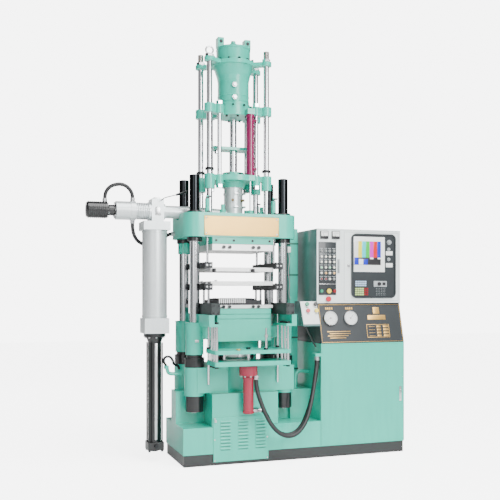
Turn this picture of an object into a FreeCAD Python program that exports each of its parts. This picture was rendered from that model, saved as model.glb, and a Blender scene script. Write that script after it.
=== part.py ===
import FreeCAD, Part
import math
import os

import Sketcher

# Vertical injection moulding machine, in millimetres.
# Origin: the ram axis on the floor. X right, Y to the back, Z up.

doc = FreeCAD.newDocument("InjectionMouldingMachine")
sheet = doc.addObject("Spreadsheet::Sheet", "Sizes")
nodes = []
ORIGIN_AXES = {"x": FreeCAD.Rotation(FreeCAD.Vector(0, 1, 0), 90),
               "y": FreeCAD.Rotation(FreeCAD.Vector(1, 0, 0), -90),
               "z": FreeCAD.Rotation()}


class Size:
    """A number together with the sheet expression that gives it."""

    def __init__(self, text, value):
        self.text = text
        self.value = float(value)

    def __add__(self, other):
        other = as_size(other)
        return Size("(%s + %s)" % (self.text, other.text), self.value + other.value)

    def __radd__(self, other):
        return as_size(other) + self

    def __sub__(self, other):
        other = as_size(other)
        return Size("(%s - %s)" % (self.text, other.text), self.value - other.value)

    def __rsub__(self, other):
        return as_size(other) - self

    def __mul__(self, other):
        other = as_size(other)
        return Size("(%s * %s)" % (self.text, other.text), self.value * other.value)

    def __rmul__(self, other):
        return as_size(other) * self

    def __truediv__(self, other):
        other = as_size(other)
        return Size("(%s / %s)" % (self.text, other.text), self.value / other.value)

    def __neg__(self):
        return Size("(0 - %s)" % self.text, -self.value)


def as_size(value):
    """Return the value as a Size."""
    if isinstance(value, Size):
        return value
    return Size("%g" % value if value >= 0 else "(0 - %g)" % -value, value)


def size(name, value):
    """Add a named size to the sheet and return it."""
    row = size.rows + 1
    size.rows = row
    sheet.set("A%d" % row, name)
    sheet.set("B%d" % row, "%g" % value)
    sheet.setAlias("B%d" % row, name)
    return Size("Sizes.%s" % name, value)


size.rows = 0


def bind(thing, prop, value):
    """Bind a property to a size."""
    value = as_size(value)
    thing.setExpression(prop, value.text)


def put(thing, x, y, z, turn=None):
    """Place an object at sizes, with an optional fixed turn."""
    x, y, z = as_size(x), as_size(y), as_size(z)
    spot = FreeCAD.Vector(x.value, y.value, z.value)
    thing.Placement = FreeCAD.Placement(spot, turn or FreeCAD.Rotation())
    bind(thing, "Placement.Base.x", x)
    bind(thing, "Placement.Base.y", y)
    bind(thing, "Placement.Base.z", z)
    return thing


def box(x0, x1, y0, y1, z0, z1):
    """Return a block between three pairs of sizes."""
    block = doc.addObject("Part::Box", "Block")
    bind(block, "Length", as_size(x1) - x0)
    bind(block, "Width", as_size(y1) - y0)
    bind(block, "Height", as_size(z1) - z0)
    return put(block, x0, y0, z0)


def rod(axis, start, end, radius, a, b):
    """Return a cylinder along an axis; a and b are its other two coordinates."""
    cylinder = doc.addObject("Part::Cylinder", "Rod")
    bind(cylinder, "Radius", radius)
    bind(cylinder, "Height", as_size(end) - start)
    spots = {"x": (start, a, b), "y": (a, start, b), "z": (a, b, start)}
    return put(cylinder, *spots[axis], turn=ORIGIN_AXES[axis])


def hexagon(x, y, z0, z1, radius):
    """Return an upright hexagonal prism."""
    prism = doc.addObject("Part::Prism", "Hexagon")
    prism.Polygon = 6
    bind(prism, "Circumradius", radius)
    bind(prism, "Height", as_size(z1) - z0)
    return put(prism, x, y, z0)


def ring(x, y, z0, z1, outer, inner):
    """Return an upright tube."""
    return cut(rod("z", z0, z1, outer, x, y), rod("z", z0, z1, inner, x, y))


def fuse(*parts):
    """Join solids into one."""
    joined = doc.addObject("Part::MultiFuse", "Join")
    joined.Shapes = list(parts)
    joined.Refine = True
    return joined


def cut(base, *tools):
    """Cut tools from a base."""
    result = doc.addObject("Part::Cut", "Cut")
    result.Base = base
    result.Tool = tools[0] if len(tools) == 1 else fuse(*tools)
    result.Refine = True
    return result


def group(*parts):
    """Keep separate solids together in one sub-part."""
    compound = doc.addObject("Part::Compound", "Set")
    compound.Links = list(parts)
    return compound


def role_plane(body, role):
    """Return one of a body's own origin planes."""
    for feature in body.Origin.OriginFeatures:
        if feature.Role == role:
            return feature
    raise ValueError(role)


def pin(sketch, line, across, up):
    """Fix a line's first point at two sizes from the sketch origin."""
    for kind, value, axis in (("DistanceX", across, -2), ("DistanceY", up, -1)):
        value = as_size(value)
        if value.value == 0:
            sketch.addConstraint(Sketcher.Constraint("PointOnObject", line, 1, axis))
        else:
            rule = Sketcher.Constraint(kind, -1, 1, line, 1, value.value)
            index = sketch.addConstraint(rule)
            sketch.setExpression("Constraints[%d]" % index, value.text)


def outline(sketch, points):
    """Draw a closed outline through pinned points."""
    first = sketch.GeometryCount
    spots = [FreeCAD.Vector(as_size(a).value, as_size(b).value, 0) for a, b in points]
    for index, spot in enumerate(spots):
        following = spots[(index + 1) % len(spots)]
        sketch.addGeometry(Part.LineSegment(spot, following), False)
    for index, (across, up) in enumerate(points):
        line = first + index
        after = first + (index + 1) % len(points)
        sketch.addConstraint(Sketcher.Constraint("Coincident", line, 2, after, 1))
    for index, (across, up) in enumerate(points):
        pin(sketch, first + index, across, up)


def circle(sketch, across, up, radius):
    """Draw a pinned circle."""
    across, up, radius = as_size(across), as_size(up), as_size(radius)
    centre = FreeCAD.Vector(across.value, up.value, 0)
    normal = FreeCAD.Vector(0, 0, 1)
    line = sketch.addGeometry(Part.Circle(centre, normal, radius.value), False)
    for kind, value in (("DistanceX", across), ("DistanceY", up)):
        rule = Sketcher.Constraint(kind, -1, 1, line, 3, value.value)
        index = sketch.addConstraint(rule)
        sketch.setExpression("Constraints[%d]" % index, value.text)
    index = sketch.addConstraint(Sketcher.Constraint("Radius", line, radius.value))
    sketch.setExpression("Constraints[%d]" % index, radius.text)


def new_sketch(body, role):
    """Return a sketch on one of the body's origin planes."""
    sketch = body.newObject("Sketcher::SketchObject", "Profile")
    sketch.AttachmentSupport = (role_plane(body, role), [""])
    sketch.MapMode = "FlatFace"
    return sketch


def turned(points, x, y, z, axis="z"):
    """Return a turned body: points are (radius, distance along the axis)."""
    body = doc.addObject("PartDesign::Body", "Turned")
    sketch = new_sketch(body, "XZ_Plane")
    outline(sketch, points)
    turning = body.newObject("PartDesign::Revolution", "Turning")
    turning.Profile = sketch
    turning.ReferenceAxis = (sketch, ["V_Axis"])
    turning.Angle = 360
    return put(body, x, y, z, turn=ORIGIN_AXES[axis])


def plate(x0, x1, y0, y1, z0, z1, holes=(), corner=None):
    """Return a plate padded from a sketch, with through holes (x, y, radius)."""
    body = doc.addObject("PartDesign::Body", "Plate")
    sketch = new_sketch(body, "XY_Plane")
    wide, deep = as_size(x1) - x0, as_size(y1) - y0
    outline(sketch, [(0, 0), (wide, 0), (wide, deep), (0, deep)])
    for x, y, radius in holes:
        circle(sketch, as_size(x) - x0, as_size(y) - y0, radius)
    pad = body.newObject("PartDesign::Pad", "Pad")
    pad.Profile = sketch
    bind(pad, "Length", as_size(z1) - z0)
    if corner:
        doc.recompute()
        fillet = body.newObject("PartDesign::Fillet", "Corners")
        fillet.Base = (pad, corner_edges(pad.Shape, wide.value, deep.value))
        bind(fillet, "Radius", corner)
    return put(body, x0, y0, z0)


def corner_edges(shape, wide, deep):
    """Name the four upright corner edges of a padded rectangle."""
    names = []
    for index, edge in enumerate(shape.Edges, 1):
        box_of = edge.BoundBox
        upright = box_of.XLength < 0.001 and box_of.YLength < 0.001
        side = min(abs(box_of.XMin), abs(box_of.XMin - wide)) < 0.001
        end = min(abs(box_of.YMin), abs(box_of.YMin - deep)) < 0.001
        if upright and side and end:
            names.append("Edge%d" % index)
    return names


def prism(points, x0, x1, y, z):
    """Return a bar along X padded from an outline of (y, z) steps."""
    body = doc.addObject("PartDesign::Body", "Bar")
    sketch = new_sketch(body, "YZ_Plane")
    outline(sketch, points)
    pad = body.newObject("PartDesign::Pad", "Pad")
    pad.Profile = sketch
    bind(pad, "Length", as_size(x1) - x0)
    return put(body, x0, y, z)


def node(label, thing):
    """Label a finished sub-part."""
    thing.Label = label
    nodes.append(thing)
    return thing


def corners(x, y):
    """Return the four mirrored points of one corner."""
    x, y = as_size(x), as_size(y)
    return [(-x, -y), (x, -y), (x, y), (-x, y)]


def pairs(x, *ys):
    """Return points on both sides of the middle plane."""
    x = as_size(x)
    return [(side, as_size(y)) for y in ys for side in (-x, x)]


def posts(spots, z0, z1, radius):
    """Return an upright rod at each spot."""
    return [rod("z", z0, z1, radius, x, y) for x, y in spots]


# Fits
FIT = size("running_fit", 0.06)
SEAT = size("seat_gap", 0.05)
FREE = size("free_gap", 0.8)

# Base
BASE_LEFT = size("base_left", -452)
BASE_FRONT = size("base_front", -286)
BASE_BACK = size("base_back", 240)
CAB_LEFT = size("cabinet_left", 580)
CAB_RIGHT = size("cabinet_right", 1270)
WALL = size("base_wall", 12)
SKIRT_INSET = size("skirt_inset", 6)
SKIRT_WALL = size("skirt_wall", 20)
SKIRT_TOP = size("skirt_top", 82)
FLOOR_BEAM = size("floor_beam_half", 70)
FLOOR_BEAM_TALL = size("floor_beam_height", 40)
PEDESTAL_TOP = size("pedestal_top", 268)
BODY_TOP = size("press_body_top", 499)
CORE_HALF = size("press_core_half", 245)
ARM_HALF = size("press_arm_half", 70)
TANK_LEFT = size("tank_left", 412)
TANK_FRONT = size("tank_front", -105)
TANK_TOP = size("tank_top", 485)
DUCT_LEFT = size("duct_left", 478)
DUCT_WIDE = size("duct_width", 62)
DUCT_FRONT = size("duct_front", 60)
DUCT_DEEP = size("duct_depth", 60)
DUCT_TOP = size("duct_top", 1610)
DUCT_BOX = size("duct_box_width", 35)
DUCT_BOX_TOP = size("duct_box_top", 1694)
COVER_LEFT = size("cover_left", -238)
COVER_WIDE = size("cover_width", 407)
COVER_LOW = size("cover_bottom", 25)
COVER_TALL = size("cover_height", 310)
COVER_THICK = size("cover_thickness", 5)
COVER_LAP = size("cover_lap", 24)
SLOT_WIDE = size("louvre_width", 70)
SLOT_TALL = size("louvre_slot", 7)
SLOT_LOW = size("louvre_first", 78)
SLOT_SIDE = size("louvre_side", 53)
SLOT_STEP = size("louvre_column_step", 130)
SLOT_PITCH = size("louvre_pitch", 23.5)
SLOT_ROWS = 9

# Lower crosshead, ram and columns
TIE_X = size("tie_bar_x", 336)
TIE_Y = size("tie_bar_y", 149)
TIE_R = size("tie_bar_radius", 36)
TIE_LOW = size("tie_bar_bottom", 360)
TIE_TOP = size("tie_bar_top", 2035)
CROSS_TOP = size("crosshead_top", 678)
CROSS_HALF = size("crosshead_half_depth", 226)
CROSS_RIGHT = size("crosshead_right", 392)
CROSS_BLOCK = size("crosshead_block_left", 274)
BOSS_R = size("crosshead_boss_radius", 72)
BOSS_LOW = size("crosshead_boss_bottom", 477)
VALLEY_R = size("valley_radius", 160)
VALLEY_Y = size("valley_centre", -340)
BARREL_R = size("main_cylinder_radius", 222)
BARREL_LOW = size("main_cylinder_bottom", 290)
BARREL_FLOOR = size("main_cylinder_floor", 25)
RAM_R = size("ram_radius", 172)
RAM_LOW = size("ram_bottom", 330)
RAM_TOP = size("ram_top", 800)
PORT_R = size("oil_port_radius", 8)
NUT_R = size("tie_nut_radius", 63)
NUT_LOW = size("tie_nut_bottom", 365)
TIE_RING_R = size("tie_ring_radius", 70)
TIE_RING_TOP = size("tie_ring_top", 745)
COLLAR_R = size("tie_collar_radius", 56)
COLLAR_TOP = size("tie_collar_top", 767)
HEAD_COLLAR_R = size("head_collar_radius", 54)
HEAD_COLLAR_TALL = size("head_collar_height", 30)

# Head
HEAD_LOW = size("head_bottom", 1597)
HEAD_TOP = size("head_top", 1767)
HEAD_X = size("head_half_width", 420)
HEAD_Y = size("head_half_depth", 245)
HEAD_CORNER = size("head_corner", 95)
NOZZLE_R = size("nozzle_radius", 36)
NOZZLE_GAP = size("nozzle_gap", 4)
PLATE_LEFT = size("nameplate_left", -291)
PLATE_RIGHT = size("nameplate_right", 265)
PLATE_LOW = size("nameplate_bottom", 1606)
PLATE_TOP = size("nameplate_top", 1743)
PLATE_THICK = size("nameplate_thickness", 3)
PLATE_HOLE = size("nameplate_hole", 3)
PLATE_EDGE = size("nameplate_hole_edge", 14)
BOLSTER_X = size("bolster_half_width", 227)
BOLSTER_Y = size("bolster_half_depth", 230)
BOLSTER_TALL = size("upper_bolster_height", 48)
HOT_TALL = size("upper_hot_plate_height", 46)
SPRUE_R = size("sprue_radius", 6)
HEATER_R = size("heater_radius", 8)
HEATER_DEEP = size("heater_depth", 300)

# Upper ejector
UPPER_ROD_X = size("upper_rod_x", 250)
UPPER_ROD_Y = size("upper_rod_y", 180)
ROD_R = size("lift_rod_radius", 8)
UPPER_ROD_TOP = size("upper_rod_top", 1775)
SMALL_CYL_R = size("small_cylinder_radius", 17)
SMALL_CYL_BORE = size("small_cylinder_bore", 12)
SMALL_CYL_TALL = size("small_cylinder_height", 103)
SMALL_CYL_END = size("small_cylinder_end", 10)
SMALL_CAP_R = size("small_cylinder_cap_radius", 9)
SMALL_CAP_TALL = size("small_cylinder_cap", 22)
RAIL_IN = size("rail_inside", 235)
RAIL_OUT = size("rail_outside", 290)
RAIL_FRONT = size("rail_front", -260)
RAIL_BACK = size("rail_back", 240)
UPPER_RAIL_LOW = size("upper_rail_bottom", 1376)
UPPER_RAIL_TOP = size("upper_rail_top", 1418)
MID_Y = size("mould_plate_half_depth", 215)
UPPER_MID_LOW = size("upper_mould_plate_bottom", 1355)
MID_TALL = size("mould_plate_thickness", 28)

# Base frame: skirt, pedestal, press body, oil tank and cable duct in one welding
INNER_LEFT = BASE_LEFT + WALL
INNER_FRONT = BASE_FRONT + WALL
INNER_BACK = BASE_BACK - WALL
DECK = PEDESTAL_TOP - WALL
SKIRT_IN = SKIRT_INSET + SKIRT_WALL
skirt = cut(box(BASE_LEFT + SKIRT_INSET, CAB_RIGHT - SKIRT_INSET, BASE_FRONT + SKIRT_INSET,
                BASE_BACK - SKIRT_INSET, 0, SKIRT_TOP),
            box(BASE_LEFT + SKIRT_IN, CAB_RIGHT - SKIRT_IN, BASE_FRONT + SKIRT_IN,
                BASE_BACK - SKIRT_IN, 0, SKIRT_TOP))
floor_beam = box(-FLOOR_BEAM, FLOOR_BEAM, BASE_FRONT + SKIRT_IN, BASE_BACK - SKIRT_IN, 0,
                 FLOOR_BEAM_TALL)
shells = fuse(box(BASE_LEFT, CAB_LEFT, BASE_FRONT, BASE_BACK, SKIRT_TOP, PEDESTAL_TOP),
              box(-CORE_HALF, CORE_HALF, BASE_FRONT, BASE_BACK, PEDESTAL_TOP, BODY_TOP),
              box(BASE_LEFT, TANK_LEFT, -ARM_HALF, ARM_HALF, PEDESTAL_TOP, BODY_TOP),
              box(TANK_LEFT, CAB_LEFT, TANK_FRONT, BASE_BACK, PEDESTAL_TOP, TANK_TOP))
spaces = fuse(box(INNER_LEFT, CAB_LEFT - WALL, INNER_FRONT, INNER_BACK, SKIRT_TOP, DECK),
              box(WALL - CORE_HALF, CORE_HALF - WALL, INNER_FRONT, INNER_BACK, DECK,
                  BODY_TOP - WALL),
              box(INNER_LEFT, TANK_LEFT - WALL, WALL - ARM_HALF, ARM_HALF - WALL, DECK,
                  BODY_TOP - WALL),
              box(TANK_LEFT + WALL, CAB_LEFT - WALL, TANK_FRONT + WALL, INNER_BACK, DECK,
                  TANK_TOP - WALL))
window = box(COVER_LEFT + COVER_LAP, COVER_LEFT + COVER_WIDE - COVER_LAP, BASE_FRONT,
             INNER_FRONT, COVER_LOW + COVER_LAP + SKIRT_TOP, COVER_LOW + COVER_TALL - COVER_LAP)
barrel_hole = rod("z", BODY_TOP - WALL, BODY_TOP, BARREL_R + SEAT, 0, 0)
duct_right = DUCT_LEFT + DUCT_WIDE
duct_back = DUCT_FRONT + DUCT_DEEP
duct = fuse(box(DUCT_LEFT, duct_right, DUCT_FRONT, duct_back, TANK_TOP, DUCT_TOP),
            box(duct_right - DUCT_BOX, duct_right, DUCT_FRONT, duct_back, DUCT_TOP, DUCT_BOX_TOP))
node("base_frame", fuse(skirt, floor_beam, cut(shells, spaces, window, barrel_hole), duct))

# Louvred cover on the front of the base
cover = doc.addObject("PartDesign::Body", "Cover")
cover_sketch = new_sketch(cover, "XY_Plane")
outline(cover_sketch, [(0, 0), (COVER_WIDE, 0), (COVER_WIDE, COVER_TALL), (0, COVER_TALL)])
cover_pad = cover.newObject("PartDesign::Pad", "Sheet")
cover_pad.Profile = cover_sketch
bind(cover_pad, "Length", COVER_THICK)
slot_sketch = new_sketch(cover, "XY_Plane")
for column in range(3):
    slot_left = SLOT_SIDE + SLOT_STEP * column
    outline(slot_sketch, [(slot_left, SLOT_LOW), (slot_left + SLOT_WIDE, SLOT_LOW),
                          (slot_left + SLOT_WIDE, SLOT_LOW + SLOT_TALL),
                          (slot_left, SLOT_LOW + SLOT_TALL)])
slots = cover.newObject("PartDesign::Pocket", "Slots")
slots.Profile = slot_sketch
slots.Type = 1
slots.Reversed = True
slot_rows = cover.newObject("PartDesign::LinearPattern", "SlotRows")
slot_rows.Originals = [slots]
slot_rows.Direction = (slot_sketch, ["V_Axis"])
bind(slot_rows, "Length", SLOT_PITCH * (SLOT_ROWS - 1))
slot_rows.Occurrences = SLOT_ROWS
cover.Tip = slot_rows
upright = FreeCAD.Rotation(FreeCAD.Vector(1, 0, 0), 90)
node("front_cover", put(cover, COVER_LEFT, BASE_FRONT, COVER_LOW, turn=upright))

# Lower crosshead with the main cylinder
TIES = corners(TIE_X, TIE_Y)
crosshead = fuse(box(-TIE_X, TIE_X, -CROSS_HALF, CROSS_HALF, BODY_TOP, CROSS_TOP),
                 box(CROSS_BLOCK, CROSS_RIGHT, -CROSS_HALF, CROSS_HALF, BODY_TOP, CROSS_TOP),
                 rod("z", BARREL_LOW, BODY_TOP, BARREL_R, 0, 0),
                 *posts(TIES, BOSS_LOW, BODY_TOP + WALL, BOSS_R),
                 *posts([TIES[0], TIES[3]], BODY_TOP, CROSS_TOP, BOSS_R))
ram_bore = rod("z", BARREL_LOW + BARREL_FLOOR, CROSS_TOP, RAM_R + FIT, 0, 0)
oil_port = rod("z", BARREL_LOW, BARREL_LOW + BARREL_FLOOR, PORT_R, 0, 0)
valley = rod("z", BODY_TOP, CROSS_TOP, VALLEY_R, 0, VALLEY_Y)
node("lower_crosshead", cut(crosshead, ram_bore, oil_port, valley,
                            *posts(TIES, BOSS_LOW, CROSS_TOP, TIE_R + SEAT)))

# Tie bars with their nuts, rings and collars
node("tie_bars", group(*posts(TIES, TIE_LOW, TIE_TOP, TIE_R)))
collars = []
for tie_x, tie_y in TIES:
    for low, top, outside in ((NUT_LOW, BOSS_LOW, NUT_R), (CROSS_TOP, TIE_RING_TOP, TIE_RING_R),
                              (TIE_RING_TOP, COLLAR_TOP, COLLAR_R),
                              (HEAD_LOW - HEAD_COLLAR_TALL, HEAD_LOW, HEAD_COLLAR_R)):
        collars.append(ring(tie_x, tie_y, low, top, outside, TIE_R + SEAT))
node("tie_bar_nuts", group(*collars))

# Injection unit sizes that the head shares
COLUMN_X = size("guide_column_x", 217)
COLUMN_Y = size("guide_column_y", 118)
COLUMN_R = size("guide_column_radius", 20)
COLUMN_LOW = size("guide_column_bottom", 1610)
COLUMN_SPARE = size("guide_column_spare", 5)
LIFT_X = size("lift_cylinder_x", 85)
LIFT_Y = size("lift_cylinder_y", -140)
LIFT_ROD_R = size("lift_cylinder_rod", 7)
LIFT_BOSS_R = size("lift_boss_radius", 22)
LIFT_BOSS_TOP = size("lift_boss_top", 1800)
LIFT_ROD_LOW = size("lift_cylinder_rod_bottom", 1780)
SCREW_Z = size("screw_height", 1783)
CHANNEL_R = size("head_channel_radius", 56)

# Head
UPPER_RODS = corners(UPPER_ROD_X, UPPER_ROD_Y)
COLUMNS = corners(COLUMN_X, COLUMN_Y)
head_holes = [(x, y, TIE_R + SEAT) for x, y in TIES]
head_holes += [(x, y, ROD_R + FIT) for x, y in UPPER_RODS]
head_holes += [(as_size(0), as_size(0), NOZZLE_R + NOZZLE_GAP)]
head_block = plate(-HEAD_X, HEAD_X, -HEAD_Y, HEAD_Y, HEAD_LOW, HEAD_TOP, head_holes, HEAD_CORNER)
lift_boss = rod("z", HEAD_TOP, LIFT_BOSS_TOP, LIFT_BOSS_R, LIFT_X, LIFT_Y)
lift_seat = rod("z", LIFT_ROD_LOW, LIFT_BOSS_TOP, LIFT_ROD_R + SEAT, LIFT_X, LIFT_Y)
channel = rod("x", -HEAD_X, 0, CHANNEL_R, 0, SCREW_Z)
column_bores = posts(COLUMNS, COLUMN_LOW - COLUMN_SPARE, HEAD_TOP, COLUMN_R + FIT)
node("head", cut(fuse(head_block, lift_boss), lift_seat, channel, *column_bores))

# Bare nameplate with its four screw holes
plate_holes = [(x, z, PLATE_HOLE) for x in (PLATE_LEFT + PLATE_EDGE, PLATE_RIGHT - PLATE_EDGE)
               for z in (PLATE_LOW + PLATE_EDGE, PLATE_TOP - PLATE_EDGE)]
name_plate = cut(box(PLATE_LEFT, PLATE_RIGHT, -HEAD_Y - PLATE_THICK, -HEAD_Y, PLATE_LOW,
                     PLATE_TOP),
                 *[rod("y", -HEAD_Y - PLATE_THICK, -HEAD_Y, hole, x, z)
                   for x, z, hole in plate_holes])
node("nameplate", name_plate)

# Upper bolster and hot plate
BOLSTER_LOW = HEAD_LOW - BOLSTER_TALL
HOT_LOW = BOLSTER_LOW - HOT_TALL
HEATERS = [size("heater_%s_x" % word, place) for word, place in
           (("first", -144), ("second", -100), ("third", 76), ("fourth", 118))]
node("upper_bolster", plate(-BOLSTER_X, BOLSTER_X, -BOLSTER_Y, BOLSTER_Y, BOLSTER_LOW, HEAD_LOW,
                            [(as_size(0), as_size(0), NOZZLE_R + NOZZLE_GAP)]))
hot_plate = plate(-BOLSTER_X, BOLSTER_X, -BOLSTER_X, BOLSTER_X, HOT_LOW, BOLSTER_LOW,
                  [(as_size(0), as_size(0), SPRUE_R)])
node("upper_hot_plate", cut(hot_plate, *[rod("y", -BOLSTER_X, HEATER_DEEP - BOLSTER_X, HEATER_R,
                                             x, HOT_LOW + HOT_TALL / 2) for x in HEATERS]))

# Upper ejector: cylinders on the head, rods, rails and mould plate
small_profile = [(SMALL_CYL_BORE, 0), (SMALL_CYL_R, 0), (SMALL_CYL_R, SMALL_CYL_TALL),
                 (SMALL_CAP_R, SMALL_CYL_TALL), (SMALL_CAP_R, SMALL_CYL_TALL + SMALL_CAP_TALL),
                 (0, SMALL_CYL_TALL + SMALL_CAP_TALL), (0, SMALL_CYL_TALL - SMALL_CYL_END),
                 (SMALL_CYL_BORE, SMALL_CYL_TALL - SMALL_CYL_END)]
node("upper_ejector_cylinders", group(*[turned(small_profile, x, y, HEAD_TOP)
                                        for x, y in UPPER_RODS]))
node("upper_lift_rods", group(*posts(UPPER_RODS, UPPER_RAIL_TOP, UPPER_ROD_TOP, ROD_R)))
node("upper_rails", group(*[box(left, right, RAIL_FRONT, RAIL_BACK, UPPER_RAIL_LOW,
                                UPPER_RAIL_TOP)
                            for left, right in ((-RAIL_OUT, -RAIL_IN), (RAIL_IN, RAIL_OUT))]))
node("upper_mould_plate", plate(-RAIL_IN, RAIL_IN, -MID_Y, MID_Y, UPPER_MID_LOW,
                                UPPER_MID_LOW + MID_TALL, [(as_size(0), as_size(0), SPRUE_R)]))

# Moving platen
FLANGE_R = size("ram_flange_radius", 190)
BLOCK_LOW = size("platen_bottom", 861)
BLOCK_TOP = size("platen_top", 1093)
BLOCK_X = size("platen_half_width", 200)
BLOCK_Y = size("platen_half_depth", 260)
GROOVE_DEEP = size("groove_depth", 8)
GROOVE_TALL = size("groove_height", 5)
GROOVES = [size("groove_low", 1016), size("groove_high", 1049)]
BEAM_IN = size("beam_inside", 281)
BEAM_OUT = size("beam_outside", 318)
BEAM_FRONT = size("beam_front", -460)
BEAM_LOW = size("beam_bottom", 972)
BEAM_TOP = size("beam_top", 1052)
LEDGE_IN = size("ledge_inside", 240)
LEDGE_TALL = size("ledge_height", 18)
LEDGE_BACK = size("ledge_back", -222)
SLEEVE_R = size("sleeve_radius", 64)
SLEEVE_TOP = size("sleeve_top", 993)
PLATEN_ARM_LOW = size("platen_arm_bottom", 880)
PLATEN_ARM_TOP = size("platen_arm_top", 965)
PLATEN_ARM_IN = size("platen_arm_inside", 100)
PLATEN_ARM_OUT = size("platen_arm_outside", 193)
GUIDE_OUT = size("guide_block_outside", 300)
GUIDE_BACK = size("guide_block_back", -150)
GUIDE_TOP = size("guide_block_top", 1131)
LOWER_HOT_TALL = size("lower_hot_plate_height", 23)
MOULD_LEFT = size("mould_left", -175)
MOULD_RIGHT = size("mould_right", 153)
MOULD_Y = size("mould_half_depth", 200)
MOULD_TALL = size("mould_height", 34)
PIN_R = size("mould_pin_radius", 3)
PIN_TALL = size("mould_pin_height", 15)
PIN_EDGE = size("mould_pin_edge", 12)
PIN_STEP = size("mould_pin_step", 16)
PIN_COUNT = 13

# Ejector
EJ_X = size("ejector_half_width", 277)
EJ_BACK = size("ejector_back", -250)
EJ_LOW = size("ejector_base_bottom", 702)
EJ_TALL = size("ejector_base_height", 31)
EJ_CORNER = size("ejector_corner", 12)
TOP_LOW = size("ejector_top_bottom", 784)
TOP_TALL = size("ejector_top_height", 26)
TOP_BACK = size("ejector_top_back", -228)
POST_X = size("post_x", 259)
POST_R = size("post_radius", 9)
POST_YS = [size("post_front_y", -440), size("post_middle_y", -384), size("post_back_y", -322)]
LIFT_ROD_Y = size("lift_rod_y", -240)
LIFT_ROD_LOW_END = size("lift_rod_bottom", 560)
GUIDE_ROD_Y = size("guide_rod_y", 120)
GUIDE_ROD_LOW = size("guide_rod_bottom", 870)
BACK_ROD_Y = size("back_rod_y", 225)
BACK_ROD_LOW = size("back_rod_bottom", 900)
LOWER_RAIL_LOW = size("lower_rail_bottom", 1222)
LOWER_RAIL_TOP = size("lower_rail_top", 1268)
LOWER_MID_LOW = size("lower_mould_plate_bottom", 1257)
EJ_CYL_Y = size("ejector_cylinder_y", -343)
EJ_CYL_R = size("ejector_cylinder_radius", 37)
EJ_CYL_LOW = size("ejector_cylinder_bottom", 361)
EJ_CYL_END = size("ejector_cylinder_end", 14)
EJ_BORE_R = size("ejector_bore", 30)
EJ_GLAND = size("ejector_gland", 52)
EJ_FLANGE_R = size("ejector_flange_radius", 65)
EJ_FLANGE_TALL = size("ejector_flange_height", 75)
EJ_CHAMFER = size("ejector_flange_chamfer", 10)
EJ_ROD_R = size("ejector_rod_radius", 10)
EJ_PISTON_LOW = size("ejector_piston_bottom", 440)
EJ_PISTON_TALL = size("ejector_piston_height", 25)
EJ_PORT_R = size("ejector_port_radius", 14)
EJ_PORT_Z = size("ejector_port_height", 380)
EJ_PORT_END = size("ejector_port_end", 70)
STOP_X = size("stop_rod_x", 100)
STOP_Y = size("stop_rod_y", -430)
STOP_TALL = size("stop_rod_height", 150)
STOP_COLLAR_R = size("stop_collar_radius", 14)
STOP_COLLAR_LOW = size("stop_collar_bottom", 85)
STOP_COLLAR_TALL = size("stop_collar_height", 20)

node("main_ram", rod("z", RAM_LOW, RAM_TOP, RAM_R, 0, 0))

GUIDE_RODS = pairs(POST_X, -GUIDE_ROD_Y, GUIDE_ROD_Y)
LIFT_RODS = pairs(POST_X, LIFT_ROD_Y)
POSTS = pairs(POST_X, *POST_YS)
solids = [rod("z", RAM_TOP, BLOCK_LOW, FLANGE_R, 0, 0),
          box(-BLOCK_X, BLOCK_X, -BLOCK_Y, BLOCK_Y, BLOCK_LOW, BLOCK_TOP),
          box(-TIE_X, TIE_X, -PLATEN_ARM_OUT, -PLATEN_ARM_IN, PLATEN_ARM_LOW, PLATEN_ARM_TOP),
          box(-TIE_X, TIE_X, PLATEN_ARM_IN, PLATEN_ARM_OUT, PLATEN_ARM_LOW, PLATEN_ARM_TOP)]
for beam_out, beam_in, ledge_in in ((-BEAM_OUT, -BEAM_IN, -LEDGE_IN),
                                    (BEAM_OUT, BEAM_IN, LEDGE_IN)):
    low_x, high_x = sorted((beam_out, beam_in), key=lambda place: place.value)
    solids.append(box(low_x, high_x, BEAM_FRONT, TIE_Y, BEAM_LOW, BEAM_TOP))
    low_x, high_x = sorted((beam_in, ledge_in), key=lambda place: place.value)
    solids.append(box(low_x, high_x, BEAM_FRONT, LEDGE_BACK, BEAM_LOW, BEAM_LOW + LEDGE_TALL))
solids += posts(TIES, COLLAR_TOP, SLEEVE_TOP, SLEEVE_R)
bores = posts(TIES, COLLAR_TOP, BEAM_TOP, TIE_R + FIT)
bores += posts(GUIDE_RODS, PLATEN_ARM_LOW, PLATEN_ARM_TOP, ROD_R + FIT)
bores += posts(LIFT_RODS, BEAM_LOW, BEAM_LOW + LEDGE_TALL, ROD_R + FIT)
bores += posts(POSTS, BEAM_LOW, BEAM_LOW + LEDGE_TALL, POST_R + SEAT)
bores += [box(-BLOCK_X, BLOCK_X, -BLOCK_Y, GROOVE_DEEP - BLOCK_Y, low, low + GROOVE_TALL)
          for low in GROOVES]
node("moving_bolster", cut(fuse(*solids), *bores))

guides = []
for low_x, high_x, (rod_x, rod_y) in ((-GUIDE_OUT, -LEDGE_IN, LIFT_RODS[0]),
                                      (LEDGE_IN, GUIDE_OUT, LIFT_RODS[1])):
    guides.append(cut(box(low_x, high_x, BEAM_FRONT, GUIDE_BACK, BEAM_TOP, GUIDE_TOP),
                      rod("z", BEAM_TOP, GUIDE_TOP, ROD_R + FIT, rod_x, rod_y)))
node("guide_blocks", group(*guides))

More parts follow.
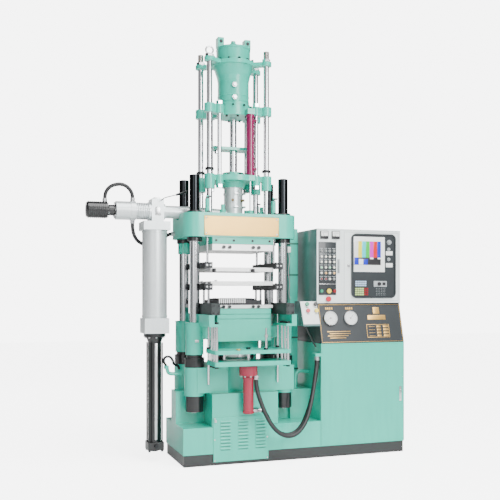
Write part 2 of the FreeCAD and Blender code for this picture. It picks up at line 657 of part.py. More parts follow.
LOWER_HOT_TOP = BLOCK_TOP + LOWER_HOT_TALL
lower_hot = plate(-BOLSTER_X, BOLSTER_X, -BOLSTER_X, BOLSTER_X, BLOCK_TOP, LOWER_HOT_TOP)
node("lower_hot_plate", cut(lower_hot, *[rod("y", -BOLSTER_X, HEATER_DEEP - BOLSTER_X, HEATER_R,
                                             x, BLOCK_TOP + LOWER_HOT_TALL / 2)
                                         for x in HEATERS]))
MOULD_TOP = LOWER_HOT_TOP + MOULD_TALL
pins = [rod("z", MOULD_TOP, MOULD_TOP + PIN_TALL, PIN_R,
            MOULD_LEFT + PIN_EDGE + PIN_STEP * index, PIN_EDGE - MOULD_Y)
        for index in range(PIN_COUNT)]
node("lower_mould", fuse(plate(MOULD_LEFT, MOULD_RIGHT, -MOULD_Y, MOULD_Y, LOWER_HOT_TOP,
                               MOULD_TOP), *pins))

# Ejector hanging under the platen
base_holes = [(x, y, POST_R + SEAT) for x, y in POSTS]
base_holes.append((as_size(0), EJ_CYL_Y, EJ_ROD_R + FIT))
node("ejector_base_plate", plate(-EJ_X, EJ_X, BEAM_FRONT, EJ_BACK, EJ_LOW, EJ_LOW + EJ_TALL,
                                 base_holes, EJ_CORNER))
node("ejector_posts", group(*posts(POSTS, EJ_LOW, BEAM_LOW + LEDGE_TALL, POST_R)))
EJ_HIGH = EJ_LOW - EJ_CYL_LOW
cylinder_profile = [(0, 0), (EJ_CYL_R, 0), (EJ_CYL_R, EJ_HIGH - EJ_FLANGE_TALL),
                    (EJ_FLANGE_R, EJ_HIGH - EJ_FLANGE_TALL),
                    (EJ_FLANGE_R, EJ_HIGH - EJ_CHAMFER), (EJ_FLANGE_R - EJ_CHAMFER, EJ_HIGH),
                    (EJ_ROD_R + FIT, EJ_HIGH), (EJ_ROD_R + FIT, EJ_HIGH - EJ_GLAND),
                    (EJ_BORE_R, EJ_HIGH - EJ_GLAND), (EJ_BORE_R, EJ_CYL_END), (0, EJ_CYL_END)]
node("ejector_cylinder", fuse(turned(cylinder_profile, 0, EJ_CYL_Y, EJ_CYL_LOW),
                              rod("x", EJ_BORE_R + 3, EJ_PORT_END, EJ_PORT_R, EJ_CYL_Y,
                                  EJ_PORT_Z)))

# Lower ejector: it rides on the platen
top_holes = [(x, y, POST_R + FIT) for x, y in POSTS]
top_holes += [(x, y, ROD_R + SEAT) for x, y in LIFT_RODS]
node("ejector_top_plate", plate(-EJ_X, EJ_X, BEAM_FRONT, TOP_BACK, TOP_LOW, TOP_LOW + TOP_TALL,
                                top_holes, EJ_CORNER))
piston_profile = [(0, 0), (EJ_BORE_R - FIT, 0), (EJ_BORE_R - FIT, EJ_PISTON_TALL),
                  (EJ_ROD_R, EJ_PISTON_TALL), (EJ_ROD_R, TOP_LOW - EJ_PISTON_LOW),
                  (0, TOP_LOW - EJ_PISTON_LOW)]
collar_top = STOP_COLLAR_LOW + STOP_COLLAR_TALL
stop_profile = [(0, 0), (ROD_R, 0), (ROD_R, STOP_COLLAR_LOW), (STOP_COLLAR_R, STOP_COLLAR_LOW),
                (STOP_COLLAR_R, collar_top), (ROD_R, collar_top), (ROD_R, STOP_TALL),
                (0, STOP_TALL)]
node("ejector_rods", group(turned(piston_profile, 0, EJ_CYL_Y, EJ_PISTON_LOW),
                           turned(stop_profile, STOP_X, STOP_Y, TOP_LOW + TOP_TALL)))
lower_rods = posts(LIFT_RODS, LIFT_ROD_LOW_END, LOWER_RAIL_LOW, ROD_R)
lower_rods += posts(GUIDE_RODS, GUIDE_ROD_LOW, LOWER_RAIL_LOW, ROD_R)
lower_rods += posts(pairs(POST_X, BACK_ROD_Y), BACK_ROD_LOW, LOWER_RAIL_LOW, ROD_R)
node("lower_lift_rods", group(*lower_rods))
node("lower_rails", group(*[box(left, right, RAIL_FRONT, RAIL_BACK, LOWER_RAIL_LOW,
                                LOWER_RAIL_TOP)
                            for left, right in ((-RAIL_OUT, -RAIL_IN), (RAIL_IN, RAIL_OUT))]))
node("lower_mould_plate", plate(-RAIL_IN, RAIL_IN, -MID_Y, MID_Y, LOWER_MID_LOW,
                                LOWER_MID_LOW + MID_TALL))

# Injection unit
SHORT_X = size("short_rod_x", 140)
SHORT_Y = size("short_rod_y", 110)
SHORT_R = size("short_rod_radius", 16)
SHORT_NUT_R = size("short_nut_radius", 26)
SHORT_NUT_TALL = size("short_nut_height", 25)
SHORT_BOSS_R = size("short_boss_radius", 30)
SHORT_BOSS_LOW = size("short_boss_bottom", 1985)
LOW_PLATE = size("injection_plate_bottom", 2015)
LOW_PLATE_TOP = size("injection_plate_top", 2054)
DISC_R = size("injection_disc_radius", 180)
ARM_REACH = size("injection_arm_half", 32)
EAR_R = size("column_ear_radius", 38)
EAR_LOW = size("column_ear_bottom", 1950)
NECK_R = size("plate_collar_radius", 80)
NECK_TOP = size("plate_collar_top", 2086)
CONE_R = size("plate_cone_radius", 98)
BARREL_TOP = size("injection_barrel_top", 1975)
NOZZLE_LONG = size("nozzle_length", 221)
NOZZLE_TIP_R = size("nozzle_tip_radius", 24)
NOZZLE_TIP = size("nozzle_tip_length", 14)
MELT_R = size("melt_hole_radius", 5)
CHAMBER = size("melt_chamber_start", 101)
SILVER_R = size("injection_barrel_radius", 69)
BAND_R = size("barrel_band_radius", 74)
BAND_LOW = size("barrel_band_low", 276)
BAND_HIGH = size("barrel_band_high", 374)
BAND_TALL = size("barrel_band_height", 14)
SPOUT_R = size("melt_spout_radius", 34)
SPOUT_X = size("melt_spout_length", 90)
PLUNGER_R = size("plunger_radius", 29)
PLUNGER_LOW = size("plunger_bottom", 1800)
GUIDE_PLATE_LOW = size("plunger_plate_bottom", 2250)
GUIDE_PLATE_TALL = size("plunger_plate_height", 20)
GUIDE_PLATE_X = size("plunger_plate_half_width", 175)
GUIDE_PLATE_Y = size("plunger_plate_half_depth", 60)
GUIDE_NUT_X = size("plunger_nut_x", 125)
GUIDE_NUT_R = size("plunger_nut_radius", 20)
GUIDE_NUT_TALL = size("plunger_nut_height", 25)
PISTON_ROD_R = size("piston_rod_radius", 25)
PISTON_LOW = size("piston_bottom", 2725)
PISTON_TALL = size("piston_height", 60)
YOKE_LOW = size("yoke_bottom", 2497)
YOKE_TOP = size("yoke_top", 2560)
YOKE_R = size("yoke_boss_radius", 130)
CYL_R = size("injection_cylinder_radius", 115)
CYL_BORE = size("injection_cylinder_bore", 90)
CYL_FLOOR = size("injection_cylinder_floor", 20)
CYL_BASE_R = size("injection_cylinder_base", 125)
FLARE_OUT = size("injection_flare_width", 30)
FLARE_TALL = size("injection_flare_height", 115)
CYL_TOP = size("injection_cylinder_top", 2893)
CYL_FLANGE_R = size("injection_flange_radius", 162)
CYL_FLANGE_TALL = size("injection_flange_height", 28)
CAP_TOP = size("injection_cap_top", 3004)
CAP_END = size("injection_cap_end", 44)
LUG_TALL = size("cap_lug_height", 71)
LUG_THICK = size("cap_lug_thickness", 46)
LUG_X = size("cap_lug_x", 103)
LUG_Y = size("cap_lug_half_depth", 30)
COLUMN_NUT_R = size("column_nut_radius", 32)
COLUMN_NUT_TALL = size("column_nut_height", 22)
COLUMN_END = size("column_thread_end", 2970)
EYE_R = size("eye_radius", 27)
EYE_WIRE_R = size("eye_wire_radius", 6)
LIFT_CYL_R = size("lift_cylinder_radius", 28)
LIFT_CYL_BORE = size("lift_cylinder_bore", 22)
LIFT_CYL_END = size("lift_cylinder_end", 12)
LIFT_PISTON_LOW = size("lift_piston_bottom", 2300)
LIFT_PISTON_TALL = size("lift_piston_height", 25)
LIFT_HOLE_R = size("lift_rod_hole", 10)
LIFT_LUG_TALL = size("lift_lug_height", 40)

SHORTS = corners(SHORT_X, SHORT_Y)


def column_arms(low, high):
    """Return the two crossed bars that reach the guide columns."""
    arms = []
    for side in (-1, 1):
        near, far = COLUMN_Y * (0 - side), COLUMN_Y * side
        body = doc.addObject("PartDesign::Body", "Arm")
        sketch = new_sketch(body, "XY_Plane")
        outline(sketch, [(-COLUMN_X, near - ARM_REACH), (COLUMN_X, far - ARM_REACH),
                         (COLUMN_X, far + ARM_REACH), (-COLUMN_X, near + ARM_REACH)])
        pad = body.newObject("PartDesign::Pad", "Pad")
        pad.Profile = sketch
        bind(pad, "Length", as_size(high) - low)
        arms.append(put(body, 0, 0, low))
    return arms


lift_piston = [(0, 0), (LIFT_ROD_R, 0), (LIFT_ROD_R, LIFT_PISTON_LOW - LIFT_ROD_LOW),
               (LIFT_CYL_BORE - FIT, LIFT_PISTON_LOW - LIFT_ROD_LOW),
               (LIFT_CYL_BORE - FIT, LIFT_PISTON_LOW + LIFT_PISTON_TALL - LIFT_ROD_LOW),
               (0, LIFT_PISTON_LOW + LIFT_PISTON_TALL - LIFT_ROD_LOW)]
node("lift_rod", turned(lift_piston, LIFT_X, LIFT_Y, LIFT_ROD_LOW))
LIFT_LONG = YOKE_LOW - LOW_PLATE_TOP
lift_profile = [(LIFT_ROD_R + FIT, 0), (LIFT_CYL_R, 0), (LIFT_CYL_R, LIFT_LONG), (0, LIFT_LONG),
                (0, LIFT_LONG - LIFT_CYL_END), (LIFT_CYL_BORE, LIFT_LONG - LIFT_CYL_END),
                (LIFT_CYL_BORE, LIFT_CYL_END), (LIFT_ROD_R + FIT, LIFT_CYL_END)]
node("lift_cylinder", turned(lift_profile, LIFT_X, LIFT_Y, LOW_PLATE_TOP))

neck_profile = [(0, 0), (NECK_R, 0), (CONE_R, LOW_PLATE - BARREL_TOP), (0, LOW_PLATE - BARREL_TOP)]
low_plate = fuse(rod("z", LOW_PLATE, LOW_PLATE_TOP, DISC_R, 0, 0),
                 rod("z", LOW_PLATE_TOP, NECK_TOP, NECK_R, 0, 0),
                 turned(neck_profile, 0, 0, BARREL_TOP), *column_arms(LOW_PLATE, LOW_PLATE_TOP),
                 *posts(COLUMNS, EAR_LOW, LOW_PLATE_TOP, EAR_R),
                 *posts(SHORTS, SHORT_BOSS_LOW, LOW_PLATE_TOP, SHORT_BOSS_R),
                 box(LIFT_X - LIFT_CYL_R, LIFT_X + LIFT_CYL_R, LIFT_Y - LIFT_CYL_R, 0, LOW_PLATE,
                     LOW_PLATE_TOP))
node("injection_plate", cut(low_plate, rod("z", BARREL_TOP, NECK_TOP, PLUNGER_R + FIT, 0, 0),
                            rod("z", LOW_PLATE, LOW_PLATE_TOP, LIFT_HOLE_R, LIFT_X, LIFT_Y),
                            *posts(COLUMNS, EAR_LOW, LOW_PLATE_TOP, COLUMN_R + SEAT),
                            *posts(SHORTS, SHORT_BOSS_LOW, LOW_PLATE_TOP, SHORT_R + SEAT)))

BARREL_LONG = BARREL_TOP - BOLSTER_LOW
shot_profile = [(MELT_R, 0), (NOZZLE_TIP_R, 0), (NOZZLE_R, NOZZLE_TIP), (NOZZLE_R, NOZZLE_LONG),
                (SILVER_R, NOZZLE_LONG),
                (SILVER_R, BAND_LOW), (BAND_R, BAND_LOW), (BAND_R, BAND_LOW + BAND_TALL),
                (SILVER_R, BAND_LOW + BAND_TALL), (SILVER_R, BAND_HIGH), (BAND_R, BAND_HIGH),
                (BAND_R, BAND_HIGH + BAND_TALL), (SILVER_R, BAND_HIGH + BAND_TALL),
                (SILVER_R, BARREL_LONG), (PLUNGER_R + FIT, BARREL_LONG),
                (PLUNGER_R + FIT, CHAMBER), (MELT_R, CHAMBER - 20)]
SCREW_BORE = size("screw_bore", 22)
shot = fuse(turned(shot_profile, 0, 0, BOLSTER_LOW),
            rod("x", -SPOUT_X, -(PLUNGER_R + 6), SPOUT_R, 0, SCREW_Z))
node("injection_barrel", cut(shot, rod("x", -SPOUT_X, -(PLUNGER_R - 6), SCREW_BORE, 0, SCREW_Z)))

columns = posts(COLUMNS, COLUMN_LOW, CYL_TOP + COLUMN_NUT_TALL, COLUMN_R)
columns += [rod("z", CYL_TOP + COLUMN_NUT_TALL, COLUMN_END, COLUMN_R, *COLUMNS[index])
            for index in (1, 3)]
nuts = [cut(hexagon(x, y, CYL_TOP, CYL_TOP + COLUMN_NUT_TALL, COLUMN_NUT_R),
            rod("z", CYL_TOP, CYL_TOP + COLUMN_NUT_TALL, COLUMN_R + SEAT, x, y))
        for x, y in COLUMNS]
eye = doc.addObject("Part::Torus", "Eye")
bind(eye, "Radius1", EYE_R)
bind(eye, "Radius2", EYE_WIRE_R)
put(eye, COLUMNS[0][0], COLUMNS[0][1], CYL_TOP + COLUMN_NUT_TALL + EYE_R,
    turn=FreeCAD.Rotation(FreeCAD.Vector(1, 0, 0), 90))
columns.append(eye)
node("guide_columns", group(fuse(*columns), *nuts))

SHORT_LOW = SHORT_BOSS_LOW - SHORT_NUT_TALL
SHORT_HIGH = YOKE_TOP + SHORT_NUT_TALL
short_parts = posts(SHORTS, SHORT_LOW, SHORT_HIGH, SHORT_R)
for short_x, short_y in SHORTS:
    for low, high in ((SHORT_LOW, SHORT_BOSS_LOW), (YOKE_TOP, SHORT_HIGH)):
        short_parts.append(cut(hexagon(short_x, short_y, low, high, SHORT_NUT_R),
                               rod("z", low, high, SHORT_R + SEAT, short_x, short_y)))
node("injection_tie_rods", group(*short_parts))

yoke = fuse(rod("z", YOKE_LOW, YOKE_TOP, YOKE_R, 0, 0), *column_arms(YOKE_LOW, YOKE_TOP),
            *posts(COLUMNS, YOKE_LOW, YOKE_TOP, EAR_R),
            *posts(SHORTS, YOKE_LOW, YOKE_TOP, SHORT_BOSS_R),
            box(LIFT_X - LIFT_CYL_R, LIFT_X + LIFT_CYL_R, LIFT_Y - LIFT_CYL_R, 0, YOKE_LOW,
                YOKE_LOW + LIFT_LUG_TALL))
node("injection_yoke", cut(yoke, rod("z", YOKE_LOW, YOKE_TOP, PISTON_ROD_R + FIT, 0, 0),
                           *posts(COLUMNS, YOKE_LOW, YOKE_TOP, COLUMN_R + SEAT),
                           *posts(SHORTS, YOKE_LOW, YOKE_TOP, SHORT_R + SEAT)))

FLANGE_LOW = CYL_TOP - CYL_FLANGE_TALL
barrel_tall = FLANGE_LOW - YOKE_TOP
barrel_profile = [(0, 0), (CYL_BASE_R, 0), (CYL_BASE_R, CYL_FLOOR), (CYL_R, CYL_FLOOR + 15),
                  (CYL_R, barrel_tall - FLARE_TALL),
                  (CYL_R + FLARE_OUT * 0.25, barrel_tall - FLARE_TALL * 0.65),
                  (CYL_R + FLARE_OUT * 0.75, barrel_tall - FLARE_TALL * 0.25),
                  (CYL_R + FLARE_OUT, barrel_tall), (0, barrel_tall)]
top_parts = [turned(barrel_profile, 0, 0, YOKE_TOP),
             rod("z", FLANGE_LOW, CYL_TOP, CYL_FLANGE_R, 0, 0),
             rod("z", CYL_TOP, CAP_TOP, CYL_BASE_R, 0, 0)]
top_parts += column_arms(FLANGE_LOW, CYL_TOP)
top_parts += posts(COLUMNS, FLANGE_LOW, CYL_TOP, EAR_R)
top_parts += [box(-LUG_X - LUG_THICK / 2, LUG_THICK / 2 - LUG_X, -LUG_Y, LUG_Y, CAP_TOP,
                  CAP_TOP + LUG_TALL),
              box(LUG_X - LUG_THICK / 2, LUG_X + LUG_THICK / 2, -LUG_Y, LUG_Y, CAP_TOP,
                  CAP_TOP + LUG_TALL)]
node("injection_cylinder", cut(fuse(*top_parts),
                               rod("z", YOKE_TOP + CYL_FLOOR, CAP_TOP - CAP_END, CYL_BORE, 0, 0),
                               rod("z", YOKE_TOP, YOKE_TOP + CYL_FLOOR, PISTON_ROD_R + FIT, 0, 0),
                               *posts(COLUMNS, FLANGE_LOW, CYL_TOP, COLUMN_R + SEAT)))

plunger_profile = [(0, 0), (PLUNGER_R, 0), (PLUNGER_R, GUIDE_PLATE_LOW - PLUNGER_LOW),
                   (PISTON_ROD_R, GUIDE_PLATE_LOW - PLUNGER_LOW),
                   (PISTON_ROD_R, PISTON_LOW - PLUNGER_LOW),
                   (CYL_BORE - FIT, PISTON_LOW - PLUNGER_LOW),
                   (CYL_BORE - FIT, PISTON_LOW + PISTON_TALL - PLUNGER_LOW),
                   (0, PISTON_LOW + PISTON_TALL - PLUNGER_LOW)]
plunger_nuts = [hexagon(x, 0, GUIDE_PLATE_LOW - GUIDE_NUT_TALL, GUIDE_PLATE_LOW, GUIDE_NUT_R)
                for x in (-GUIDE_NUT_X, GUIDE_NUT_X)]
node("injection_plunger", fuse(turned(plunger_profile, 0, 0, PLUNGER_LOW),
                               box(-GUIDE_PLATE_X, GUIDE_PLATE_X, -GUIDE_PLATE_Y, GUIDE_PLATE_Y,
                                   GUIDE_PLATE_LOW, GUIDE_PLATE_LOW + GUIDE_PLATE_TALL),
                               *plunger_nuts))

# Screw extruder along X
MOTOR_X = size("motor_end", -1074)
MOTOR_R = size("motor_radius", 57)
MOTOR_LONG = size("motor_length", 145)
MOTOR_NECK_R = size("motor_neck_radius", 38)
GEAR_X = size("gearbox_start", -870)
GEAR_R = size("gearbox_radius", 65)
GEAR_LONG = size("gearbox_length", 103)
GEAR_RING_R = size("gearbox_ring_radius", 69)
GEAR_RING_LONG = size("gearbox_ring_length", 35)
GEAR_CORE_R = size("gearbox_core_radius", 50)
GEAR_FLANGE = size("gearbox_flange_length", 18)
FEED_LEFT = size("feed_block_left", -622)
FEED_RIGHT = size("feed_block_right", -536)
FEED_Y = size("feed_block_half_depth", 60)
FEED_TOP = size("feed_block_top", 1870)
FEED_STEP = size("feed_base_top", 1708)
FEED_LOW = size("feed_base_bottom", 1648)
FEED_BASE = size("feed_base_half", 95)
FEED_BORE = size("feed_bore", 40)
TUBE_R = size("screw_barrel_radius", 45)
TUBE_FLANGE_R = size("screw_barrel_flange", 56)
TUBE_FLANGE_LONG = size("screw_barrel_flange_length", 16)
TUBE_STRAIGHT = size("screw_barrel_straight", 230)
SCREW_CORE = size("screw_core", 15)
SCREW_START = size("screw_start", -700)
SCREW_END = size("screw_end", -110)
JOURNAL = size("screw_journal", 60)

motor_profile = [(0, 0), (MOTOR_R - 8, 0), (MOTOR_R, 10), (MOTOR_R, MOTOR_LONG),
                 (MOTOR_NECK_R, MOTOR_LONG), (MOTOR_NECK_R, GEAR_X - MOTOR_X),
                 (0, GEAR_X - MOTOR_X)]
node("extruder_motor", turned(motor_profile, MOTOR_X, 0, SCREW_Z, axis="x"))
gear_step = GEAR_LONG + GEAR_RING_LONG
gear_long = FEED_LEFT - GEAR_X
screw_in = SCREW_START - GEAR_X
gear_profile = [(0, 0), (GEAR_R, 0), (GEAR_R, GEAR_LONG), (GEAR_RING_R, GEAR_LONG),
                (GEAR_RING_R, gear_step), (GEAR_CORE_R, gear_step),
                (GEAR_CORE_R, gear_long - GEAR_FLANGE), (GEAR_R, gear_long - GEAR_FLANGE),
                (GEAR_R, gear_long), (SCREW_BORE, gear_long), (SCREW_BORE, screw_in), (0, screw_in)]
node("gearbox_housing", turned(gear_profile, GEAR_X, 0, SCREW_Z, axis="x"))
STUFFER_X = (FEED_LEFT + FEED_RIGHT) / 2 - 12
feed = fuse(box(FEED_LEFT, FEED_RIGHT, -FEED_Y, FEED_Y, FEED_STEP, FEED_TOP),
            box(STUFFER_X - FEED_BASE, STUFFER_X + FEED_BASE, -FEED_BASE, FEED_BASE, FEED_LOW,
                FEED_STEP))
node("feed_block", cut(feed, rod("x", FEED_LEFT, FEED_RIGHT, SCREW_BORE, 0, SCREW_Z),
                       rod("z", FEED_LOW, SCREW_Z, FEED_BORE - 4, (FEED_LEFT + FEED_RIGHT) / 2,
                           0)))
tube_long = -SPOUT_X - FEED_RIGHT
tube_profile = [(SCREW_BORE, 0), (TUBE_FLANGE_R, 0), (TUBE_FLANGE_R, TUBE_FLANGE_LONG),
                (TUBE_R, TUBE_FLANGE_LONG), (TUBE_R, TUBE_STRAIGHT), (SPOUT_R, tube_long),
                (SCREW_BORE, tube_long)]
node("extruder_barrel", turned(tube_profile, FEED_RIGHT, 0, SCREW_Z, axis="x"))
screw_long = SCREW_END - SCREW_START
screw_profile = [(0, 0), (SCREW_BORE - FIT, 0), (SCREW_BORE - FIT, JOURNAL),
                 (SCREW_CORE, JOURNAL), (SCREW_CORE, screw_long - JOURNAL),
                 (SCREW_BORE - FIT, screw_long - JOURNAL), (SCREW_BORE - FIT, screw_long - 20),
                 (4, screw_long), (0, screw_long)]
node("extruder_screw", turned(screw_profile, SCREW_START, 0, SCREW_Z, axis="x"))

# Vertical stuffer that feeds the screw
STUFF_R = size("stuffer_radius", 88)
STUFF_BORE = size("stuffer_bore", 70)
STUFF_LOW = size("stuffer_bottom", 1022)
BLOCK_HALF = size("stuffer_block_half", 87.5)
STUFF_BLOCK_LOW = size("stuffer_block_bottom", 915)
STUFF_FLANGE_R = size("stuffer_flange_radius", 78)
STUFF_FLANGE_TALL = size("stuffer_flange_height", 25)
STUFF_TAPER_R = size("stuffer_taper_radius", 62)
STUFF_TAPER_TALL = size("stuffer_taper_height", 40)
DRIVE_R = size("stuffer_drive_radius", 48)
DRIVE_BORE = size("stuffer_drive_bore", 38)
DRIVE_LOW = size("stuffer_drive_bottom", 143)
DRIVE_CAP = size("stuffer_cap_half", 57)
DRIVE_CAP_LOW = size("stuffer_cap_bottom", 86)
DRIVE_END = size("stuffer_drive_end", 12)
STUFF_ROD_R = size("stuffer_rod_radius", 25)
STUFF_PISTON_LOW = size("stuffer_piston_bottom", 1040)
STUFF_PISTON_TALL = size("stuffer_piston_height", 60)
DRIVE_PISTON_LOW = size("drive_piston_bottom", 180)
DRIVE_PISTON_TALL = size("drive_piston_height", 30)

stuffer = fuse(ring(STUFFER_X, 0, STUFF_LOW, FEED_LOW, STUFF_R, STUFF_BORE),
               cut(box(STUFFER_X - BLOCK_HALF, STUFFER_X + BLOCK_HALF, -BLOCK_HALF, BLOCK_HALF,
                       STUFF_BLOCK_LOW, STUFF_LOW),
                   rod("z", STUFF_BLOCK_LOW, STUFF_LOW, STUFF_ROD_R + FIT, STUFFER_X, 0)))
node("stuffer_cylinder", stuffer)
flange_at = STUFF_BLOCK_LOW - STUFF_FLANGE_TALL - DRIVE_LOW
taper_at = flange_at - STUFF_TAPER_TALL
drive_top = STUFF_BLOCK_LOW - DRIVE_LOW
drive_profile = [(0, 0), (DRIVE_R, 0), (DRIVE_R, taper_at), (STUFF_TAPER_R, flange_at),
                 (STUFF_FLANGE_R, flange_at), (STUFF_FLANGE_R, drive_top),
                 (STUFF_ROD_R + FIT, drive_top), (STUFF_ROD_R + FIT, taper_at),
                 (DRIVE_BORE, taper_at), (DRIVE_BORE, DRIVE_END), (0, DRIVE_END)]
node("stuffer_drive", fuse(turned(drive_profile, STUFFER_X, 0, DRIVE_LOW),
                           box(STUFFER_X - DRIVE_CAP, STUFFER_X + DRIVE_CAP, -DRIVE_CAP,
                               DRIVE_CAP, DRIVE_CAP_LOW, DRIVE_LOW)))
ram_at = STUFF_PISTON_LOW - DRIVE_PISTON_LOW
stuff_profile = [(0, 0), (DRIVE_BORE - FIT, 0), (DRIVE_BORE - FIT, DRIVE_PISTON_TALL),
                 (STUFF_ROD_R, DRIVE_PISTON_TALL), (STUFF_ROD_R, ram_at),
                 (STUFF_BORE - FIT, ram_at), (STUFF_BORE - FIT, ram_at + STUFF_PISTON_TALL),
                 (0, ram_at + STUFF_PISTON_TALL)]
node("stuffer_piston", turned(stuff_profile, STUFFER_X, 0, DRIVE_PISTON_LOW))

# Cabinet, console and control box
CAB_WALL = size("cabinet_wall", 10)
CAB_TOP = size("cabinet_top", 830)
DOOR_THICK = size("cabinet_door_thickness", 20)
CON_LEFT = size("console_left", 585)
CON_TOP = size("console_top", 1125)
CON_BACK = size("console_back", 172)
CON_LEAN = size("console_lean", 73)
GAUGE_R = size("gauge_radius", 54)
GAUGE_TALL = size("gauge_height", 10)
GAUGE_X = size("gauge_left_x", 673)
GAUGE_STEP = size("gauge_step", 164)
GAUGE_Z = size("gauge_height_z", 1012)
BOX_LEFT = size("control_box_left", 574)
BOX_FRONT = size("control_box_front", -228)
BOX_TOP = size("control_box_top", 1675)
BOX_WALL = size("control_box_wall", 8)
BOX_SPLIT = size("control_box_split", 778)
PANEL_THICK = size("panel_door_thickness", 16)
CABLE_EDGE = size("cable_window_edge", 60)
BRACKET_LEFT = size("hose_bracket_left", 528)
BRACKET_FRONT = size("hose_bracket_front", -306)
BRACKET_BACK = size("hose_bracket_back", -240)
BRACKET_LOW = size("hose_bracket_bottom", 740)
BRACKET_TALL = size("hose_bracket_height", 22)

cabinet = box(CAB_LEFT, CAB_RIGHT, BASE_FRONT, BASE_BACK, SKIRT_TOP, CAB_TOP)
cabinet_space = box(CAB_LEFT + CAB_WALL, CAB_RIGHT - CAB_WALL, BASE_FRONT, BASE_BACK - CAB_WALL,
                    SKIRT_TOP + CAB_WALL, CAB_TOP - CAB_WALL)
bracket = box(BRACKET_LEFT, CAB_LEFT, BRACKET_FRONT, BRACKET_BACK, BRACKET_LOW,
              BRACKET_LOW + BRACKET_TALL)
cabinet_window = box(BOX_SPLIT, CAB_RIGHT - CABLE_EDGE, -CABLE_EDGE, CABLE_EDGE,
                     CAB_TOP - CAB_WALL, CAB_TOP)
node("cabinet_shell", fuse(cut(cabinet, cabinet_space, cabinet_window), bracket))
CAB_DOOR_LEFT = CAB_LEFT + CAB_WALL + FREE
node("cabinet_door", plate(CAB_DOOR_LEFT, CAB_RIGHT - CAB_WALL - FREE, BASE_FRONT,
                           BASE_FRONT + DOOR_THICK, SKIRT_TOP + CAB_WALL + FREE,
                           CAB_TOP - CAB_WALL - FREE))

CON_DEEP = CON_BACK - BASE_FRONT
CON_TALL = CON_TOP - CAB_TOP
outer_profile = [(0, 0), (CON_DEEP, 0), (CON_DEEP, CON_TALL), (CON_LEAN, CON_TALL)]
inner_profile = [(CAB_WALL + 4, 0), (CON_DEEP - CAB_WALL, 0),
                 (CON_DEEP - CAB_WALL, CON_TALL - CAB_WALL),
                 (CON_LEAN + CAB_WALL, CON_TALL - CAB_WALL)]
console = cut(prism(outer_profile, CON_LEFT, CAB_RIGHT, BASE_FRONT, CAB_TOP),
              prism(inner_profile, CON_LEFT + CAB_WALL, CAB_RIGHT - CAB_WALL, BASE_FRONT, CAB_TOP),
              box(BOX_SPLIT, CAB_RIGHT - CABLE_EDGE, -CABLE_EDGE, CABLE_EDGE, CON_TOP - CAB_WALL,
                  CON_TOP))
CON_TURN = math.degrees(math.atan2(CON_LEAN.value, CON_TALL.value))
FACE_OUT = FreeCAD.Rotation(FreeCAD.Vector(1, 0, 0), 90 - CON_TURN)
gauge_y = BASE_FRONT + CON_LEAN * (GAUGE_Z - CAB_TOP) / CON_TALL
gauges = []
for gauge_x in (GAUGE_X, GAUGE_X + GAUGE_STEP):
    dial = doc.addObject("Part::Cylinder", "Dial")
    bind(dial, "Radius", GAUGE_R)
    bind(dial, "Height", GAUGE_TALL)
    gauges.append(put(dial, gauge_x, gauge_y, GAUGE_Z, turn=FACE_OUT))
node("console", group(console, *gauges))

BOX_BACK = CON_BACK
box_shell = box(BOX_LEFT, CAB_RIGHT, BOX_FRONT, BOX_BACK, CON_TOP, BOX_TOP)
left_space = box(BOX_LEFT + BOX_WALL, BOX_SPLIT - BOX_WALL, BOX_FRONT, BOX_BACK - BOX_WALL,
                 CON_TOP + BOX_WALL, BOX_TOP - BOX_WALL)
right_space = box(BOX_SPLIT + BOX_WALL, CAB_RIGHT - BOX_WALL, BOX_FRONT, BOX_BACK - BOX_WALL,
                  CON_TOP + BOX_WALL, BOX_TOP - BOX_WALL)
cable_window = box(BOX_SPLIT + CABLE_EDGE, CAB_RIGHT - CABLE_EDGE, -CABLE_EDGE, CABLE_EDGE,
                   CON_TOP, CON_TOP + BOX_WALL)
middle_window = box(BOX_SPLIT - BOX_WALL, BOX_SPLIT + BOX_WALL, -CABLE_EDGE, CABLE_EDGE,
                    CON_TOP + CABLE_EDGE, BOX_TOP - CABLE_EDGE)
node("control_box", cut(box_shell, left_space, right_space, cable_window, middle_window))

# Buttons: a stem in a bore, a cap that stands clear of the panel by its travel
STEM_R = size("button_stem_radius", 8)
STEM_LONG = size("button_stem_length", 24)
CAP_GAP = size("button_cap_gap", 6)
CAP_TALL = size("button_cap_height", 10)
ESTOP_R = size("emergency_cap_radius", 20)
CYCLE_R = size("cycle_cap_radius", 17)
SMALL_R = size("small_cap_radius", 15)
ESTOP_X = size("emergency_x", 664)
ESTOP_Z = size("emergency_z", 1157)
CYCLE_X = size("cycle_x", 668)
CYCLE_Z = size("cycle_z", 1216)


def button(x, y, z, radius, turn):
    """Return a button whose stem points along its turned Z."""
    body = doc.addObject("PartDesign::Body", "Button")
    sketch = new_sketch(body, "XZ_Plane")
    cap_low = STEM_LONG + CAP_GAP
    outline(sketch, [(0, 0), (STEM_R, 0), (STEM_R, cap_low), (radius, cap_low),
                     (radius, cap_low + CAP_TALL), (0, cap_low + CAP_TALL)])
    turning = body.newObject("PartDesign::Revolution", "Turning")
    turning.Profile = sketch
    turning.ReferenceAxis = (sketch, ["V_Axis"])
    turning.Angle = 360
    return put(body, x, y, z, turn=turn)


